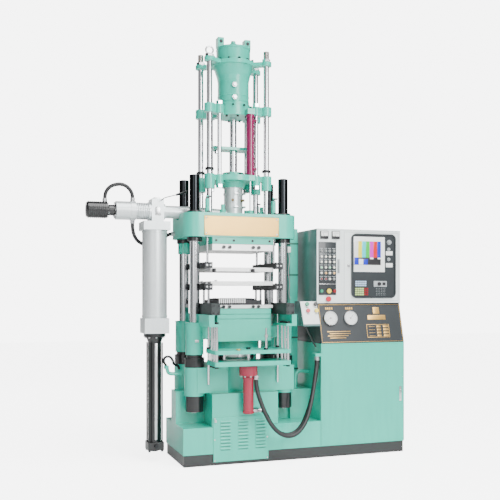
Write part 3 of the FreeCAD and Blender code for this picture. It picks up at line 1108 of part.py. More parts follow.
LEFT_DOOR = (BOX_LEFT + BOX_WALL + FREE, BOX_SPLIT - BOX_WALL - FREE)
DOOR_LOW = CON_TOP + BOX_WALL + FREE
DOOR_HIGH = BOX_TOP - BOX_WALL - FREE
door_bores = [rod("y", BOX_FRONT, BOX_FRONT + PANEL_THICK, STEM_R + FIT, x, z)
              for x, z in ((ESTOP_X, ESTOP_Z), (CYCLE_X, CYCLE_Z))]
node("lamp_door", cut(box(LEFT_DOOR[0], LEFT_DOOR[1], BOX_FRONT, BOX_FRONT + PANEL_THICK,
                          DOOR_LOW, DOOR_HIGH), *door_bores))
node("monitor_door", plate(BOX_SPLIT + BOX_WALL + FREE, CAB_RIGHT - BOX_WALL - FREE, BOX_FRONT,
                           BOX_FRONT + PANEL_THICK, DOOR_LOW, DOOR_HIGH))
FORWARD = FreeCAD.Rotation(FreeCAD.Vector(1, 0, 0), 90)
node("emergency_button", button(ESTOP_X, BOX_FRONT + STEM_LONG, ESTOP_Z, ESTOP_R, FORWARD))
node("cycle_button", button(CYCLE_X, BOX_FRONT + STEM_LONG, CYCLE_Z, CYCLE_R, FORWARD))

# Operator station with four buttons on its sloped face
ST_LEFT = size("station_left", 442)
ST_LOW = size("station_bottom", 960)
ST_LIP = size("station_lip", 11)
ST_TALL = size("station_height", 181)
ST_LEAN = size("station_lean", 71)
ST_DEEP = size("station_depth", 166)
ST_BORE = size("station_bore_depth", 34)
ST_LEFT_X = size("station_button_left", 493)
ST_RIGHT_X = size("station_button_right", 560)
ST_ROW_HIGH = size("station_row_high", 1116)
ST_ROW_LOW = size("station_row_low", 1069)

ST_TURN = math.degrees(math.atan2(ST_LEAN.value, ST_TALL.value - ST_LIP.value))
ST_OUT = FreeCAD.Rotation(FreeCAD.Vector(1, 0, 0), 90 - ST_TURN)
ST_NORMAL = ST_OUT.multVec(FreeCAD.Vector(0, 0, 1))
station = prism([(0, 0), (ST_DEEP, 0), (ST_DEEP, ST_TALL), (ST_LEAN, ST_TALL), (0, ST_LIP)],
                ST_LEFT, BOX_LEFT, BASE_FRONT, ST_LOW)
station_bores = []
for label, button_x, button_z in (("station_green_button", ST_LEFT_X, ST_ROW_HIGH),
                                  ("station_black_button", ST_RIGHT_X, ST_ROW_HIGH),
                                  ("station_red_button", ST_LEFT_X, ST_ROW_LOW),
                                  ("station_yellow_button", ST_RIGHT_X, ST_ROW_LOW)):
    rise = (button_z - ST_LOW - ST_LIP) / (ST_TALL - ST_LIP)
    face_y = BASE_FRONT + ST_LEAN * rise
    bore = doc.addObject("Part::Cylinder", "Bore")
    bind(bore, "Radius", STEM_R + FIT)
    bind(bore, "Height", ST_BORE)
    put(bore, button_x, face_y - ST_BORE * ST_NORMAL.y, button_z - ST_BORE * ST_NORMAL.z,
        turn=ST_OUT)
    station_bores.append(bore)
    node(label, button(button_x, face_y - STEM_LONG * ST_NORMAL.y,
                       button_z - STEM_LONG * ST_NORMAL.z, SMALL_R, ST_OUT))
node("operator_station", cut(station, *station_bores))

# Hoses
HOSE_R = size("ejector_hose_radius", 15)
SMALL_HOSE_R = size("small_hose_radius", 13)
HOSE_A = [(46, -372, 627), (46, -372, 572), (54, -388, 505), (75, -408, 430),
          (100, -428, 355), (138, -444, 283), (190, -455, 228), (252, -458, 203),
          (318, -452, 215), (376, -436, 262), (420, -412, 325), (454, -385, 400),
          (482, -358, 472), (505, -335, 545), (528, -309, 622), (545, -292, 688),
          (545, -292, 740)]
HOSE_B = [(70, -343, 380), (102, -343, 380), (130, -354, 352), (146, -370, 308),
          (168, -389, 262), (206, -404, 224), (262, -412, 206), (322, -411, 218),
          (376, -400, 260), (420, -378, 320), (458, -352, 390), (490, -327, 462),
          (520, -303, 535), (547, -280, 610), (565, -262, 680), (565, -262, 740)]
MOTOR_HOSE = [(-945, 0, 1834), (-946, -4, 1872), (-938, -8, 1912), (-912, -10, 1946),
              (-872, -12, 1964), (-828, -12, 1968), (-788, -10, 1952), (-760, -6, 1920),
              (-748, -2, 1884), (-750, 0, 1846)]
BARREL_HOSE = [(-750, 0, 1718), (-750, 4, 1684), (-744, 18, 1645), (-728, 45, 1608),
               (-700, 80, 1578), (-660, 112, 1558), (-612, 132, 1548), (-560, 140, 1552),
               (-522, 136, 1572), (-492, 124, 1608), (-458, 112, 1636), (-420, 112, 1636)]


def hose_path(points):
    """Return a wire of straight runs and tangent arcs, and its bend radii."""
    spots = [FreeCAD.Vector(*point) for point in points]
    edges = []
    radii = []
    start = spots[0]
    for before, corner, after in zip(spots, spots[1:], spots[2:]):
        into = (corner - before).normalize()
        onward = (after - corner).normalize()
        half = into.getAngle(onward) / 2
        reach = 0.45 * min((corner - before).Length, (after - corner).Length)
        radius = reach / math.tan(half)
        radii.append(radius)
        bend_in = corner - into * reach
        bend_out = corner + onward * reach
        inward = (onward - into).normalize()
        middle = corner + inward * (radius / math.cos(half) - radius)
        edges.append(Part.LineSegment(start, bend_in).toShape())
        edges.append(Part.Arc(bend_in, middle, bend_out).toShape())
        start = bend_out
    edges.append(Part.LineSegment(start, spots[-1]).toShape())
    return Part.Wire(edges), radii


def hose(label, points, radius):
    """Sweep a round hose along its points."""
    path, radii = hose_path(points)
    spots = [FreeCAD.Vector(*point) for point in points]
    ring_edge = Part.Circle(spots[0], spots[1] - spots[0], radius.value).toShape()
    tube = path.makePipeShell([Part.Wire([ring_edge])], True, True)
    feature = doc.addObject("Part::Feature", "Hose")
    feature.Shape = tube
    node(label, feature)
    expected = math.pi * radius.value ** 2 * path.Length
    print("%s: bend radius %.0f to %.0f mm, volume ratio %.4f"
          % (label, min(radii), max(radii), tube.Volume / expected))


hose("ejector_hose_a", HOSE_A, HOSE_R)
hose("ejector_hose_b", HOSE_B, SMALL_HOSE_R)
hose("motor_hose", MOTOR_HOSE, SMALL_HOSE_R)
hose("barrel_hose", BARREL_HOSE, SMALL_HOSE_R)

# Check and export
doc.recompute()
for thing in doc.Objects:
    if "Invalid" in thing.State or "Error" in thing.State:
        raise RuntimeError("%s %s failed" % (thing.Name, thing.Label))
os.makedirs("parts", exist_ok=True)
for thing in nodes:
    shape = thing.Shape
    if shape.isNull() or not shape.isValid() or not shape.Solids:
        raise RuntimeError("%s has no valid solid" % thing.Label)
    shape.exportStep("parts/%s.step" % thing.Label)
    print("%s: %d solid(s), %.1f litres" % (thing.Label, len(shape.Solids), shape.Volume / 1e6))
print("%d sub-parts" % len(nodes))
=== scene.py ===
"""Vertical injection press with its side extruder, stuffer and control cabinet."""

import logging
import math
from dataclasses import dataclass, field
from enum import Enum
from typing import Any, Callable, Iterable, Sequence

import bmesh
import bpy
from mathutils import Matrix, Vector

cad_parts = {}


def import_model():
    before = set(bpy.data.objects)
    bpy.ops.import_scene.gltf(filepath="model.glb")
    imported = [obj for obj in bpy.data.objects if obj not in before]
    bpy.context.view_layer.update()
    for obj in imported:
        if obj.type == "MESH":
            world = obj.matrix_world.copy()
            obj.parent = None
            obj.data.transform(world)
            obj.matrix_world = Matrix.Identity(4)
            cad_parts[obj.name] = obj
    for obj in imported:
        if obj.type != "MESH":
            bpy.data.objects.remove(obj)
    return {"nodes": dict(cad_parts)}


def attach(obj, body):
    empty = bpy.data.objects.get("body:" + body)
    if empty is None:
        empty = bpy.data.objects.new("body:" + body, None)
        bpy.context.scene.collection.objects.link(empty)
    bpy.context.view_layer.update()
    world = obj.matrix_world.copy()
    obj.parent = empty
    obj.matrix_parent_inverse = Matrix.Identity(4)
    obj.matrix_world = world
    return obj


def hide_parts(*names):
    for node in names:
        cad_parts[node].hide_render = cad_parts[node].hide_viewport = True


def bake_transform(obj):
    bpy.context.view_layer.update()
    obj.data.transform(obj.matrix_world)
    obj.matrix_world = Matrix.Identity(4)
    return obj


LOG = logging.getLogger("injection_press")
Point = tuple[float, float, float]
Colour = tuple[float, float, float]


# ---------------------------------------------------------------- shader maths
class Signal:
    """One shader socket that takes part in Python expressions."""

    def __init__(self, graph: "Graph", socket: bpy.types.NodeSocket) -> None:
        """Wrap a socket of a graph."""
        self.graph = graph
        self.socket = socket

    def _math(self, operation: str, left: Any, right: Any = 0.0) -> "Signal":
        """Add a Math node and return its output."""
        return self.graph.node("ShaderNodeMath", {"operation": operation}, {0: left, 1: right})

    def __add__(self, other: Any) -> "Signal":
        """Return self + other."""
        return self._math("ADD", self, other)

    def __sub__(self, other: Any) -> "Signal":
        """Return self - other."""
        return self._math("SUBTRACT", self, other)

    def __rsub__(self, other: Any) -> "Signal":
        """Return other - self."""
        return self._math("SUBTRACT", other, self)

    def __mul__(self, other: Any) -> "Signal":
        """Return self * other."""
        return self._math("MULTIPLY", self, other)

    def __gt__(self, other: Any) -> "Signal":
        """Return 1 where self is greater than other."""
        return self._math("GREATER_THAN", self, other)

    def __lt__(self, other: Any) -> "Signal":
        """Return 1 where self is less than other."""
        return self._math("LESS_THAN", self, other)

    __radd__ = __add__
    __rmul__ = __mul__


class Graph:
    """A material's node tree with one shader and helpers for its patterns."""

    def __init__(self, name: str) -> None:
        """Make the material and its shader.

        Args:
            name: The material's name.
        """
        self.material = bpy.data.materials.new(name)
        self.material.use_nodes = True
        self.tree = self.material.node_tree
        self.shader = self.tree.nodes["Principled BSDF"]
        self.place = self.node("ShaderNodeTexCoord", {}, {}, "Object")

    def node(self, kind: str, settings: dict[str, Any], values: dict[Any, Any],
             output: Any = 0) -> Signal:
        """Add one node.

        Args:
            kind: The node's type.
            settings: Attributes that are set first.
            values: Socket name or index to a number, a tuple or a Signal.
            output: The output's name or index.

        Returns:
            The chosen output.
        """
        made = self.tree.nodes.new(kind)
        for key, value in settings.items():
            setattr(made, key, value)
        for key, value in values.items():
            if isinstance(value, Signal):
                self.tree.links.new(value.socket, made.inputs[key])
            else:
                made.inputs[key].default_value = value
        return Signal(self, made.outputs[output])

    def noise(self, scale: float, detail: float = 3.0,
              stretch: Point = (1.0, 1.0, 1.0)) -> Signal:
        """Return noise on the piece's own coordinates, stretched if asked."""
        place = self.node("ShaderNodeMapping", {}, {"Vector": self.place, "Scale": stretch})
        return self.node("ShaderNodeTexNoise", {}, {"Vector": place, "Scale": scale,
                                                     "Detail": detail})

    def axis(self, letter: str) -> Signal:
        """Return one coordinate of the piece."""
        return self.node("ShaderNodeSeparateXYZ", {}, {0: self.place}, letter)

    def blend(self, amount: Any, first: Any, second: Any) -> Signal:
        """Mix two colours by an amount."""
        pair = [value if isinstance(value, Signal) else (*value, 1.0) for value in (first, second)]
        return self.node("ShaderNodeMix", {"data_type": "RGBA"},
                         {0: amount, 6: pair[0], 7: pair[1]}, 2)

    def feed(self, **links: Any) -> None:
        """Set or link the shader's sockets; underscores stand for spaces."""
        for key, value in links.items():
            socket = self.shader.inputs[key.replace("_", " ")]
            if isinstance(value, Signal):
                self.tree.links.new(value.socket, socket)
            else:
                socket.default_value = (*value, 1.0) if isinstance(value, tuple) else value

    def bump(self, height: Signal, strength: float, distance: float) -> None:
        """Raise the surface by a height."""
        normal = self.node("ShaderNodeBump", {}, {"Height": height, "Strength": strength,
                                                   "Distance": distance})
        self.feed(Normal=normal)


LEAF = (0.022, 0.470, 0.345)
# The mint darkened as it looks in shade: painted shade on the seam lines and the platen's joint
# line; the duct clips take it too.
LEAF_IN_SHADE = (0.010, 0.110, 0.080)


def shade(colour: Colour, amount: float) -> Colour:
    """Return the colour made lighter or darker."""
    return tuple(min(1.0, part * amount) for part in colour)


# -------------------------------------------------------------------- finishes
@dataclass(frozen=True)
class Enamel:
    """Sprayed machine enamel with orange peel, grime and a little wear."""

    name: str
    colour: Colour
    roughness: float = 0.34
    grime: float = 0.30
    dark_below: float | None = None
    other: Colour = (0.012, 0.013, 0.014)

    def material(self) -> bpy.types.Material:
        """Build the material."""
        graph = Graph(self.name)
        cloud = graph.noise(2.6, 4.0)
        streak = graph.noise(9.0, 3.0, (3.0, 3.0, 0.35))
        colour = graph.blend(cloud, shade(self.colour, 0.90), shade(self.colour, 1.08))
        dirt = (streak * cloud > 0.33) * self.grime
        soft = (streak - 0.45) * 1.2 * self.grime
        clamped = graph.node("ShaderNodeClamp", {}, {0: soft})
        colour = graph.blend(clamped, colour, shade(self.colour, 0.45))
        colour = graph.blend(dirt * 0.22, colour, shade(self.colour, 0.7))
        if self.dark_below is not None:
            colour = graph.blend(graph.axis("Z") < self.dark_below, colour, self.other)
        graph.feed(Base_Color=colour, Roughness=cloud * 0.18 + (self.roughness - 0.09),
                   Coat_Weight=0.25)
        graph.bump(graph.noise(420.0, 2.0), 0.10, 0.0006)
        return graph.material


@dataclass(frozen=True)
class Metal:
    """Ground, chromed or blackened metal with fine drawn lines."""

    name: str
    colour: Colour
    roughness: float = 0.2
    grain: Point = (1.0, 1.0, 60.0)
    dark_above: float | None = None
    metallic: float = 1.0
    band: tuple[float, float] | None = None

    def material(self) -> bpy.types.Material:
        """Build the material."""
        graph = Graph(self.name)
        line = graph.noise(26.0, 3.0, self.grain)
        smear = graph.noise(5.0, 4.0)
        colour = graph.blend(line, shade(self.colour, 0.86), shade(self.colour, 1.06))
        colour = graph.blend(smear * 0.35, colour, shade(self.colour, 0.62))
        if self.dark_above is not None:
            colour = graph.blend(graph.axis("Z") > self.dark_above, colour, (0.02, 0.022, 0.024))
        metallic = self.metallic
        if self.band is not None:
            painted = (graph.axis("Z") > self.band[0]) * (graph.axis("Z") < self.band[1])
            colour, metallic = graph.blend(painted, colour, LEAF), 1.0 - painted
        graph.feed(Base_Color=colour, Metallic=metallic,
                   Roughness=smear * 0.16 + (self.roughness - 0.06))
        graph.bump(line, 0.05, 0.0003)
        return graph.material


@dataclass(frozen=True)
class Casting:
    """Rough cast iron under thin paint."""

    name: str
    colour: Colour
    roughness: float = 0.62

    def material(self) -> bpy.types.Material:
        """Build the material."""
        graph = Graph(self.name)
        sand = graph.noise(240.0, 4.0)
        patch = graph.noise(7.0, 3.0)
        graph.feed(Base_Color=graph.blend(patch, shade(self.colour, 0.7), shade(self.colour, 1.3)),
                   Roughness=sand * 0.2 + (self.roughness - 0.1), Metallic=0.0)
        graph.bump(sand, 0.35, 0.0015)
        return graph.material


@dataclass(frozen=True)
class Rubber:
    """Hose rubber with a wrapped-cloth surface and dust."""

    name: str
    colour: Colour = (0.018, 0.018, 0.019)

    def material(self) -> bpy.types.Material:
        """Build the material."""
        graph = Graph(self.name)
        weave = graph.noise(520.0, 2.0)
        dust = graph.noise(12.0, 4.0)
        graph.feed(Base_Color=graph.blend(dust, self.colour, shade(self.colour, 2.2)),
                   Roughness=dust * 0.2 + 0.42)
        graph.bump(weave, 0.25, 0.0008)
        return graph.material


@dataclass(frozen=True)
class Plastic:
    """Moulded plastic, glass or a lit lens."""

    name: str
    colour: Colour
    roughness: float = 0.25
    glow: float = 0.0
    alpha: float = 1.0

    def material(self) -> bpy.types.Material:
        """Build the material."""
        graph = Graph(self.name)
        cloud = graph.noise(60.0, 3.0)
        colour = graph.blend(cloud, shade(self.colour, 0.88), shade(self.colour, 1.08))
        graph.feed(Base_Color=colour, Roughness=cloud * 0.1 + (self.roughness - 0.05))
        if self.glow:
            graph.feed(Emission_Color=colour, Emission_Strength=self.glow)
        if self.alpha < 1.0:
            graph.feed(Alpha=self.alpha)
        else:
            graph.bump(graph.noise(700.0, 2.0), 0.06, 0.0004)
        return graph.material


class Finish(Enum):
    """Every finish on the machine."""

    MINT = Enamel("mint_enamel", LEAF)
    BASE = Enamel("base_enamel", LEAF, dark_below=0.082)
    # The shaded mint: painted shade for the seam lines and the platen's joint line; the duct clips
    # also take it.
    MINT_IN_SHADE = Enamel("mint_in_shade", LEAF_IN_SHADE)
    CRIMSON = Enamel("crimson_enamel", (0.30, 0.010, 0.035), 0.24)
    MAGENTA = Enamel("magenta_enamel", (0.19, 0.003, 0.060), 0.24)
    BLACK = Enamel("black_enamel", (0.004, 0.005, 0.006), 0.30)
    CONSOLE = Enamel("console_black", (0.0045, 0.0095, 0.0125), 0.42, 0.15)
    CABINET = Enamel("cabinet_grey", (0.095, 0.185, 0.180), 0.36, 0.25)
    PANEL = Enamel("panel_grey", (0.78, 0.84, 0.83), 0.36, 0.10)
    SILVER = Metal("silver_paint", (0.72, 0.77, 0.78), 0.34, (4.0, 4.0, 1.0), None, 0.55)
    CHROME = Metal("chrome_plate", (0.78, 0.80, 0.82), 0.10)
    TIE_BAR = Metal("tie_bar_chrome", (0.72, 0.74, 0.76), 0.12, dark_above=1.768)
    PLUNGER = Metal("plunger_chrome", (0.70, 0.73, 0.74), 0.14, band=(2.247, 2.2725))
    STEEL = Metal("ground_steel", (0.60, 0.61, 0.62), 0.26)
    BRIGHT = Metal("bright_tool_steel", (0.82, 0.83, 0.82), 0.34, (60.0, 1.0, 1.0), None, 0.6)
    DARK = Metal("blackened_steel", (0.030, 0.032, 0.034), 0.36, (40.0, 1.0, 1.0), None, 0.7)
    GOLD = Metal("gold_brass", (0.66, 0.40, 0.11), 0.30, (60.0, 1.0, 1.0), None, 0.75)
    BRONZE = Metal("thread_bronze", (0.28, 0.19, 0.10), 0.34)
    CAST = Casting("grey_casting", (0.020, 0.028, 0.028))
    HOSE = Rubber("hose_rubber", (0.0055, 0.0060, 0.0065))
    RED = Plastic("red_plastic", (0.52, 0.02, 0.04))
    YELLOW = Plastic("yellow_plastic", (0.80, 0.60, 0.05))
    GREEN = Plastic("green_plastic", (0.03, 0.27, 0.15))
    INK = Plastic("black_plastic", (0.014, 0.014, 0.016), 0.32)
    WHITE = Plastic("white_plastic", (0.80, 0.82, 0.80), 0.34)
    GREY = Plastic("grey_plastic", (0.30, 0.33, 0.34), 0.36)
    GLASS = Plastic("clear_glass", (0.90, 0.95, 0.95), 0.08, alpha=0.16)
    LAMP_WHITE = Plastic("lamp_white", (0.85, 0.82, 0.70), 0.2, 0.9)
    LAMP_GREEN = Plastic("lamp_green", (0.30, 0.70, 0.42), 0.2, 0.7)
    LAMP_AMBER = Plastic("lamp_amber", (0.80, 0.42, 0.10), 0.2, 0.8)
    # A faint red glow: the red panel lamps' own light; the red knob and the red keys take it as
    # well, as painted glow, since they are no lamps.
    RED_GLOW = Plastic("red_glow", (0.22, 0.015, 0.02), 0.2, 0.1)
    LAMP_OFF = Plastic("lamp_grey", (0.26, 0.27, 0.26), 0.3)
    KEY_BLUE = Plastic("key_blue", (0.36, 0.50, 0.66), 0.35)
    KEY_GREEN = Plastic("key_green", (0.42, 0.56, 0.20), 0.35)
    BAR_GREY = Plastic("bar_grey", (0.62, 0.64, 0.62), 0.15, 0.45)
    BAR_YELLOW = Plastic("bar_yellow", (0.72, 0.60, 0.02), 0.15, 0.30)
    BAR_CYAN = Plastic("bar_cyan", (0.01, 0.50, 0.56), 0.15, 0.30)
    BAR_GREEN = Plastic("bar_green", (0.01, 0.42, 0.04), 0.15, 0.30)
    BAR_MAGENTA = Plastic("bar_magenta", (0.50, 0.01, 0.42), 0.15, 0.30)
    BAR_RED = Plastic("bar_red", (0.52, 0.01, 0.01), 0.15, 0.30)
    BAR_BLUE = Plastic("bar_blue", (0.01, 0.02, 0.42), 0.15, 0.30)


class Paint:
    """Keeps one material for each finish."""

    made: dict[Finish, bpy.types.Material] = {}

    @classmethod
    def of(cls, finish: Finish) -> bpy.types.Material:
        """Return the finish's material, made once."""
        if finish not in cls.made:
            cls.made[finish] = finish.value.material()
        return cls.made[finish]


# ---------------------------------------------------------------------- solids
class Solid:
    """Collects beveled blocks, turned parts and pipes into one mesh."""

    def __init__(self, name: str) -> None:
        """Start an empty mesh."""
        self.name = name
        self.mesh = bmesh.new()

    def block(self, low: Point, high: Point, bevel: float = 0.002,
              turn: Matrix | None = None) -> "Solid":
        """Add a block with eased edges.

        Args:
            low: Its lowest corner.
            high: Its highest corner.
            bevel: The width of the eased edge.
            turn: A matrix applied last.

        Returns:
            This solid.
        """
        made = bmesh.ops.create_cube(self.mesh, size=1.0)["verts"]
        size = Vector(high) - Vector(low)
        middle = (Vector(high) + Vector(low)) / 2
        matrix = Matrix.Translation(middle) @ Matrix.Diagonal((*size, 1.0))
        bmesh.ops.transform(self.mesh, matrix=matrix, verts=made)
        if bevel > 0:
            edges = list({edge for vert in made for edge in vert.link_edges})
            shrink = min(bevel, min(size) * 0.4)
            cut = bmesh.ops.bevel(self.mesh, geom=edges, offset=shrink, segments=2,
                                  affect="EDGES", profile=0.6)
            made = list({vert for face in cut["faces"] for vert in face.verts}
                        | {vert for vert in made if vert.is_valid})
        if turn is not None:
            bmesh.ops.transform(self.mesh, matrix=turn, verts=made)
        return self

    def lathe(self, start: Point, along: Point, profile: Sequence[tuple[float, float]],
              sides: int = 32) -> "Solid":
        """Turn a profile of (radius, distance) steps about a line.

        Args:
            start: The line's first point.
            along: The line's direction.
            profile: The steps; a first and last radius of 0 close the ends.
            sides: The number of sides.

        Returns:
            This solid.
        """
        turn = Vector((0, 0, 1)).rotation_difference(Vector(along)).to_matrix().to_4x4()
        matrix = Matrix.Translation(Vector(start)) @ turn
        rings: list[list[bmesh.types.BMVert]] = []
        for radius, distance in profile:
            count = 1 if radius < 1e-6 else sides
            rings.append([self.mesh.verts.new(matrix @ Vector(
                (radius * math.cos(math.tau * step / sides),
                 radius * math.sin(math.tau * step / sides), distance)))
                for step in range(count)])
        for lower, upper in zip(rings, rings[1:]):
            for step in range(sides):
                after = (step + 1) % sides
                corners = [lower[step % len(lower)], lower[after % len(lower)],
                           upper[after % len(upper)], upper[step % len(upper)]]
                unique = list(dict.fromkeys(corners))
                if len(unique) > 2:
                    self.mesh.faces.new(unique)
        return self

    def rod(self, start: Point, end: Point, radius: float, sides: int = 24,
            ease: float = 0.0015) -> "Solid":
        """Add a round bar with eased ends."""
        along = Vector(end) - Vector(start)
        ease = min(ease, radius * 0.5, along.length * 0.3)
        steps = [(0.0, 0.0), (radius - ease, 0.0), (radius, ease), (radius, along.length - ease),
                 (radius - ease, along.length), (0.0, along.length)]
        return self.lathe(start, tuple(along), steps, sides)

    def ring(self, centre: Point, along: Point, radius: float, wire: float,
             sides: int = 40) -> "Solid":
        """Add a round-section ring."""
        steps = [(radius + wire * math.cos(math.tau * step / 10),
                  wire * math.sin(math.tau * step / 10)) for step in range(11)]
        return self.lathe(centre, along, steps, sides)

    def pipe(self, points: Sequence[Point], radius: float, sides: int = 12) -> "Solid":
        """Add a smooth pipe through points."""
        return self.tube(smooth_line(points, 8), radius, sides)

    def tube(self, line: Sequence[Vector], radius: float, sides: int = 24) -> "Solid":
        """Add a closed tube along a line whose turns carry no twist.

        Args:
            line: The middle line's points.
            radius: The tube's radius.
            sides: The number of sides.

        Returns:
            This solid.
        """
        rings: list[list[bmesh.types.BMVert]] = []
        aim = (line[1] - line[0]).normalized()
        side = aim.orthogonal().normalized()
        for index, spot in enumerate(line):
            ahead = (line[min(index + 1, len(line) - 1)] - line[max(index - 1, 0)]).normalized()
            side = (aim.rotation_difference(ahead) @ side).normalized()
            aim = ahead
            other = aim.cross(side)
            rings.append([self.mesh.verts.new(
                spot + radius * (side * math.cos(math.tau * step / sides)
                                 + other * math.sin(math.tau * step / sides)))
                for step in range(sides)])
        for lower, upper in zip(rings, rings[1:]):
            for step in range(sides):
                after = (step + 1) % sides
                self.mesh.faces.new([lower[step], lower[after], upper[after], upper[step]])
        self.mesh.faces.new(list(reversed(rings[0])))
        self.mesh.faces.new(rings[-1])
        return self

    def slab(self, outline: Sequence[tuple[float, float]], back: float,
             front: float) -> "Solid":
        """Add a plate whose outline is (x, z), from its back to its front y."""
        ends = [[self.mesh.verts.new((x, y, z)) for x, z in outline] for y in (back, front)]
        self.mesh.faces.new(ends[0])
        self.mesh.faces.new(list(reversed(ends[1])))
        for index in range(len(outline)):
            after = (index + 1) % len(outline)
            self.mesh.faces.new([ends[0][index], ends[0][after], ends[1][after], ends[1][index]])
        return self

    def frame(self, outer: Sequence[tuple[float, float]], inner: Sequence[tuple[float, float]],
              back: float, front: float) -> "Solid":
        """Add a frame between two outlines of (x, z) with as many points each."""
        loops = [[self.mesh.verts.new((x, y, z)) for x, z in line]
                 for line, y in ((outer, back), (outer, front), (inner, front), (inner, back))]
        for first, second in zip(loops, loops[1:] + loops[:1]):
            for index in range(len(outer)):
                after = (index + 1) % len(outer)
                self.mesh.faces.new([first[index], first[after], second[after], second[index]])
        return self

    def done(self, finish: Finish, body: str, slot: str = "") -> bpy.types.Object:
        """Finish the piece.

        Args:
            finish: Its finish.
            body: The moving body it rides on.
            slot: The record's material slot, if it has one; not used.

        Returns:
            The finished object.
        """
        bmesh.ops.recalc_face_normals(self.mesh, faces=self.mesh.faces)
        data = bpy.data.meshes.new(self.name)
        self.mesh.to_mesh(data)
        self.mesh.free()
        return finish_piece(self.name, data, finish, body, slot)


def smooth_line(points: Sequence[Point], steps: int) -> list[Vector]:
    """Return points on a smooth line through the given ones."""
    spots = [Vector(point) for point in points]
    padded = [spots[0] * 2 - spots[1]] + spots + [spots[-1] * 2 - spots[-2]]
    line: list[Vector] = []
    for before, a, b, after in zip(padded, padded[1:], padded[2:], padded[3:]):
        for step in range(steps):
            t = step / steps
            line.append(0.5 * (2 * a + (b - before) * t + (2 * before - 5 * a + 4 * b - after)
                               * t * t + (3 * a - before - 3 * b + after) * t ** 3))
    return line + [spots[-1]]


def finish_piece(name: str, data: bpy.types.Mesh, finish: Finish, body: str,
                 slot: str = "") -> bpy.types.Object:
    """Link a mesh as a finished piece on a body, smooth between its sharp edges."""
    data.materials.clear()
    data.materials.append(Paint.of(finish))
    data.polygons.foreach_set("use_smooth", [True] * len(data.polygons))
    data.set_sharp_from_angle(angle=math.radians(32))
    piece = bpy.data.objects.new(name, data)
    bpy.context.scene.collection.objects.link(piece)
    if body:
        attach(piece, body)
    LOG.info("piece %s: %d faces", name, len(data.polygons))
    return piece


# -------------------------------------------------------------- geometry nodes
class Unit(Enum):
    """The small solid that a tree repeats."""

    ROUND = "round"
    HEX = "hex"
    BLOCK = "block"
    DOME = "dome"


class Layout(Enum):
    """Where a tree puts its solids."""

    POINTS = "points"
    ROW = "row"
    RING = "ring"


